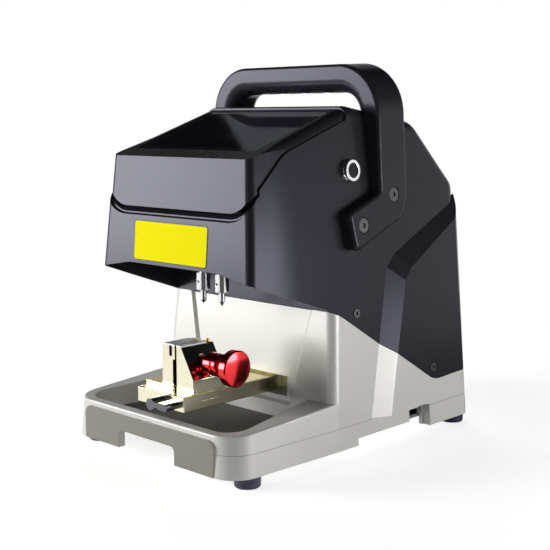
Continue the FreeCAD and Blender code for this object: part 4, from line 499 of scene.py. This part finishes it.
def notice_layer(name, margin, thickness, material):
    """One layer of the notice, wider than the plate by a margin all round."""
    width, height = (side + 2 * margin for side in PLATE_SIZE)
    place = on_head_front(PLATE_X, PLATE_Z)
    mesh = rounded_plate(name, width, height, thickness, PLATE_CORNER + margin, place)
    mesh.materials.append(material)
    piece = add_object(name, mesh)
    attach(piece, "machine")


notice_layer("notice_rim", PLATE_RIM, RIM_THICKNESS, SLOT_MATERIALS["black_plastic"])
notice_layer("notice_plate", 0.0, PLATE_THICKNESS, notice_yellow())


# Floor, light and camera


def studio_floor():
    """A white floor that keeps the object's shadow near it and is plain white further off."""
    mesh = bpy.data.meshes.new("floor")
    shape = bmesh.new()
    bmesh.ops.create_grid(shape, x_segments=1, y_segments=1, size=FLOOR_HALF)
    shape.to_mesh(mesh)
    shape.free()
    floor = add_object("floor", mesh)
    m = Material("floor_white", FLOOR_WHITE, metallic=0.0, roughness=0.80)
    m.vary_roughness(m.noise(scale=6.0, detail=2.0), amount=0.05)
    glow = m.node("Emission")
    glow.inputs["Strength"].default_value = FLOOR_GLOW
    white = m.node("Emission")
    near = m.node("AddShader")
    m.link(m.shader.outputs["BSDF"], near.inputs[0])
    m.link(glow.outputs["Emission"], near.inputs[1])
    distance = m.node("VectorMath", operation="LENGTH")
    m.link(m.coords, distance.inputs[0])
    fade = m.map_range(distance.outputs["Value"], FLOOR_FADE, interpolation_type="SMOOTHSTEP")
    seen = m.mix_shaders(fade, near.outputs["Shader"], white.outputs["Emission"])
    chosen = m.mix_shaders(m.seen_ray(), m.shader.outputs["BSDF"], seen)
    m.link(chosen, m.tree.nodes["Material Output"].inputs["Surface"])
    mesh.materials.append(m.mat)


def world_light():
    """White round the horizon and dark overhead; the camera sees plain white."""
    world = bpy.data.worlds.new("studio")
    bpy.context.scene.world = world
    world.use_nodes = True
    m = Nodes(world.node_tree)
    even = world.node_tree.nodes["Background"]
    even.inputs["Strength"].default_value = ROOM_LIGHT
    mirrored = m.node("Background")
    seen = m.node("Background")
    seen.inputs["Color"].default_value = WHITE
    split = m.node("SeparateXYZ")
    m.link(m.node("TexCoord").outputs["Generated"], split.inputs["Vector"])
    walls = m.ramp(split.outputs["Z"], (WALL_TOP, CEILING_FROM), WHITE, CEILING)
    m.link(walls, even.inputs["Color"])
    m.link(walls, mirrored.inputs["Color"])
    path = m.node("LightPath").outputs
    chosen = even.outputs["Background"]
    for ray, background in (("Glossy", mirrored), ("Transmission", mirrored), ("Camera", seen)):
        chosen = m.mix_shaders(path["Is " + ray + " Ray"], chosen, background.outputs["Background"])
    m.link(chosen, world.node_tree.nodes["World Output"].inputs["Surface"])


def black_card(name, corners):
    """A black card that only mirrors see, as a studio uses to give metal its dark sides."""
    mesh = bpy.data.meshes.new(name)
    mesh.from_pydata(corners, [], [tuple(range(len(corners)))])
    card = add_object(name, mesh)
    m = Material(name, BLACK, metallic=0.0, roughness=0.90)
    m.vary_roughness(m.noise(scale=6.0, detail=2.0), amount=0.05)
    mesh.materials.append(m.mat)
    card.visible_camera = False
    card.visible_diffuse = False
    card.visible_shadow = False


def lying_card(name, corners):
    black_card(name, [(x, y, CARD_LIFT) for x, y in corners])


def standing_card(name, first, second, height):
    """A black card that stands on the floor between two points."""
    foot = [(*first, 0.0), (*second, 0.0)]
    black_card(name, foot + [(*second, height), (*first, height)])


def softbox(name, at, width, height, power, target=OBJECT_MIDDLE, mirrored=True, colour=WHITE[:3]):
    light = bpy.data.lights.new(name, "AREA")
    light.color = colour
    light.shape = "RECTANGLE"
    light.size = width
    light.size_y = height
    light.energy = power
    lamp = add_object(name, light)
    lamp.visible_glossy = mirrored
    lamp.location = at
    lamp.rotation_euler = (Vector(target) - Vector(at)).to_track_quat("-Z", "Y").to_euler()


def camera():
    data = bpy.data.cameras.new("camera")
    data.sensor_width = SENSOR
    data.lens = CAMERA_LENS
    data.clip_end = CAMERA_REACH
    eye = add_object("camera", data)
    azimuth, down = math.radians(CAMERA_AZIMUTH), math.radians(CAMERA_DOWN)
    level = math.cos(down)
    look = Vector((-math.sin(azimuth) * level, math.cos(azimuth) * level, -math.sin(down)))
    eye.location = CAMERA_AT
    eye.rotation_euler = look.to_track_quat("-Z", "Y").to_euler()
    bpy.context.scene.camera = eye


studio_floor()
world_light()
softbox("key", at=(-1.53, -1.58, 0.46), width=1.0, height=0.86, power=45.0)
softbox("right", at=(1.03, 0.36, 0.145), width=0.52, height=0.23, power=5.5, target=(0.0, -0.03, 0.145))
standing_card("card_front", first=(0.226, -1.280), second=(1.261, -0.314), height=0.9)
lying_card("card_floor_front", ((0.073, -0.414), (0.217, -1.231), (1.213, -0.302), (0.408, -0.100)))
lying_card("card_floor_rear", ((0.15, -0.06), (0.93, 0.62), (-0.20, 1.25), (0.05, 0.30)))
softbox("rear", at=(-1.30, 1.10, 0.42), width=1.1, height=0.8, power=14.0, mirrored=False)
softbox("screen_sheen", at=(-3.80, 4.64, SHEEN_HEIGHT), width=3.06, height=3.4, power=7.5,
        target=(0.0, 0.0, SHEEN_HEIGHT), colour=SHEEN_BLUE)
softbox("fill", at=(0.90, -0.95, 0.50), width=1.0, height=1.0, power=2.0, mirrored=False)
camera()

bpy.context.scene.view_settings.view_transform = "Standard"
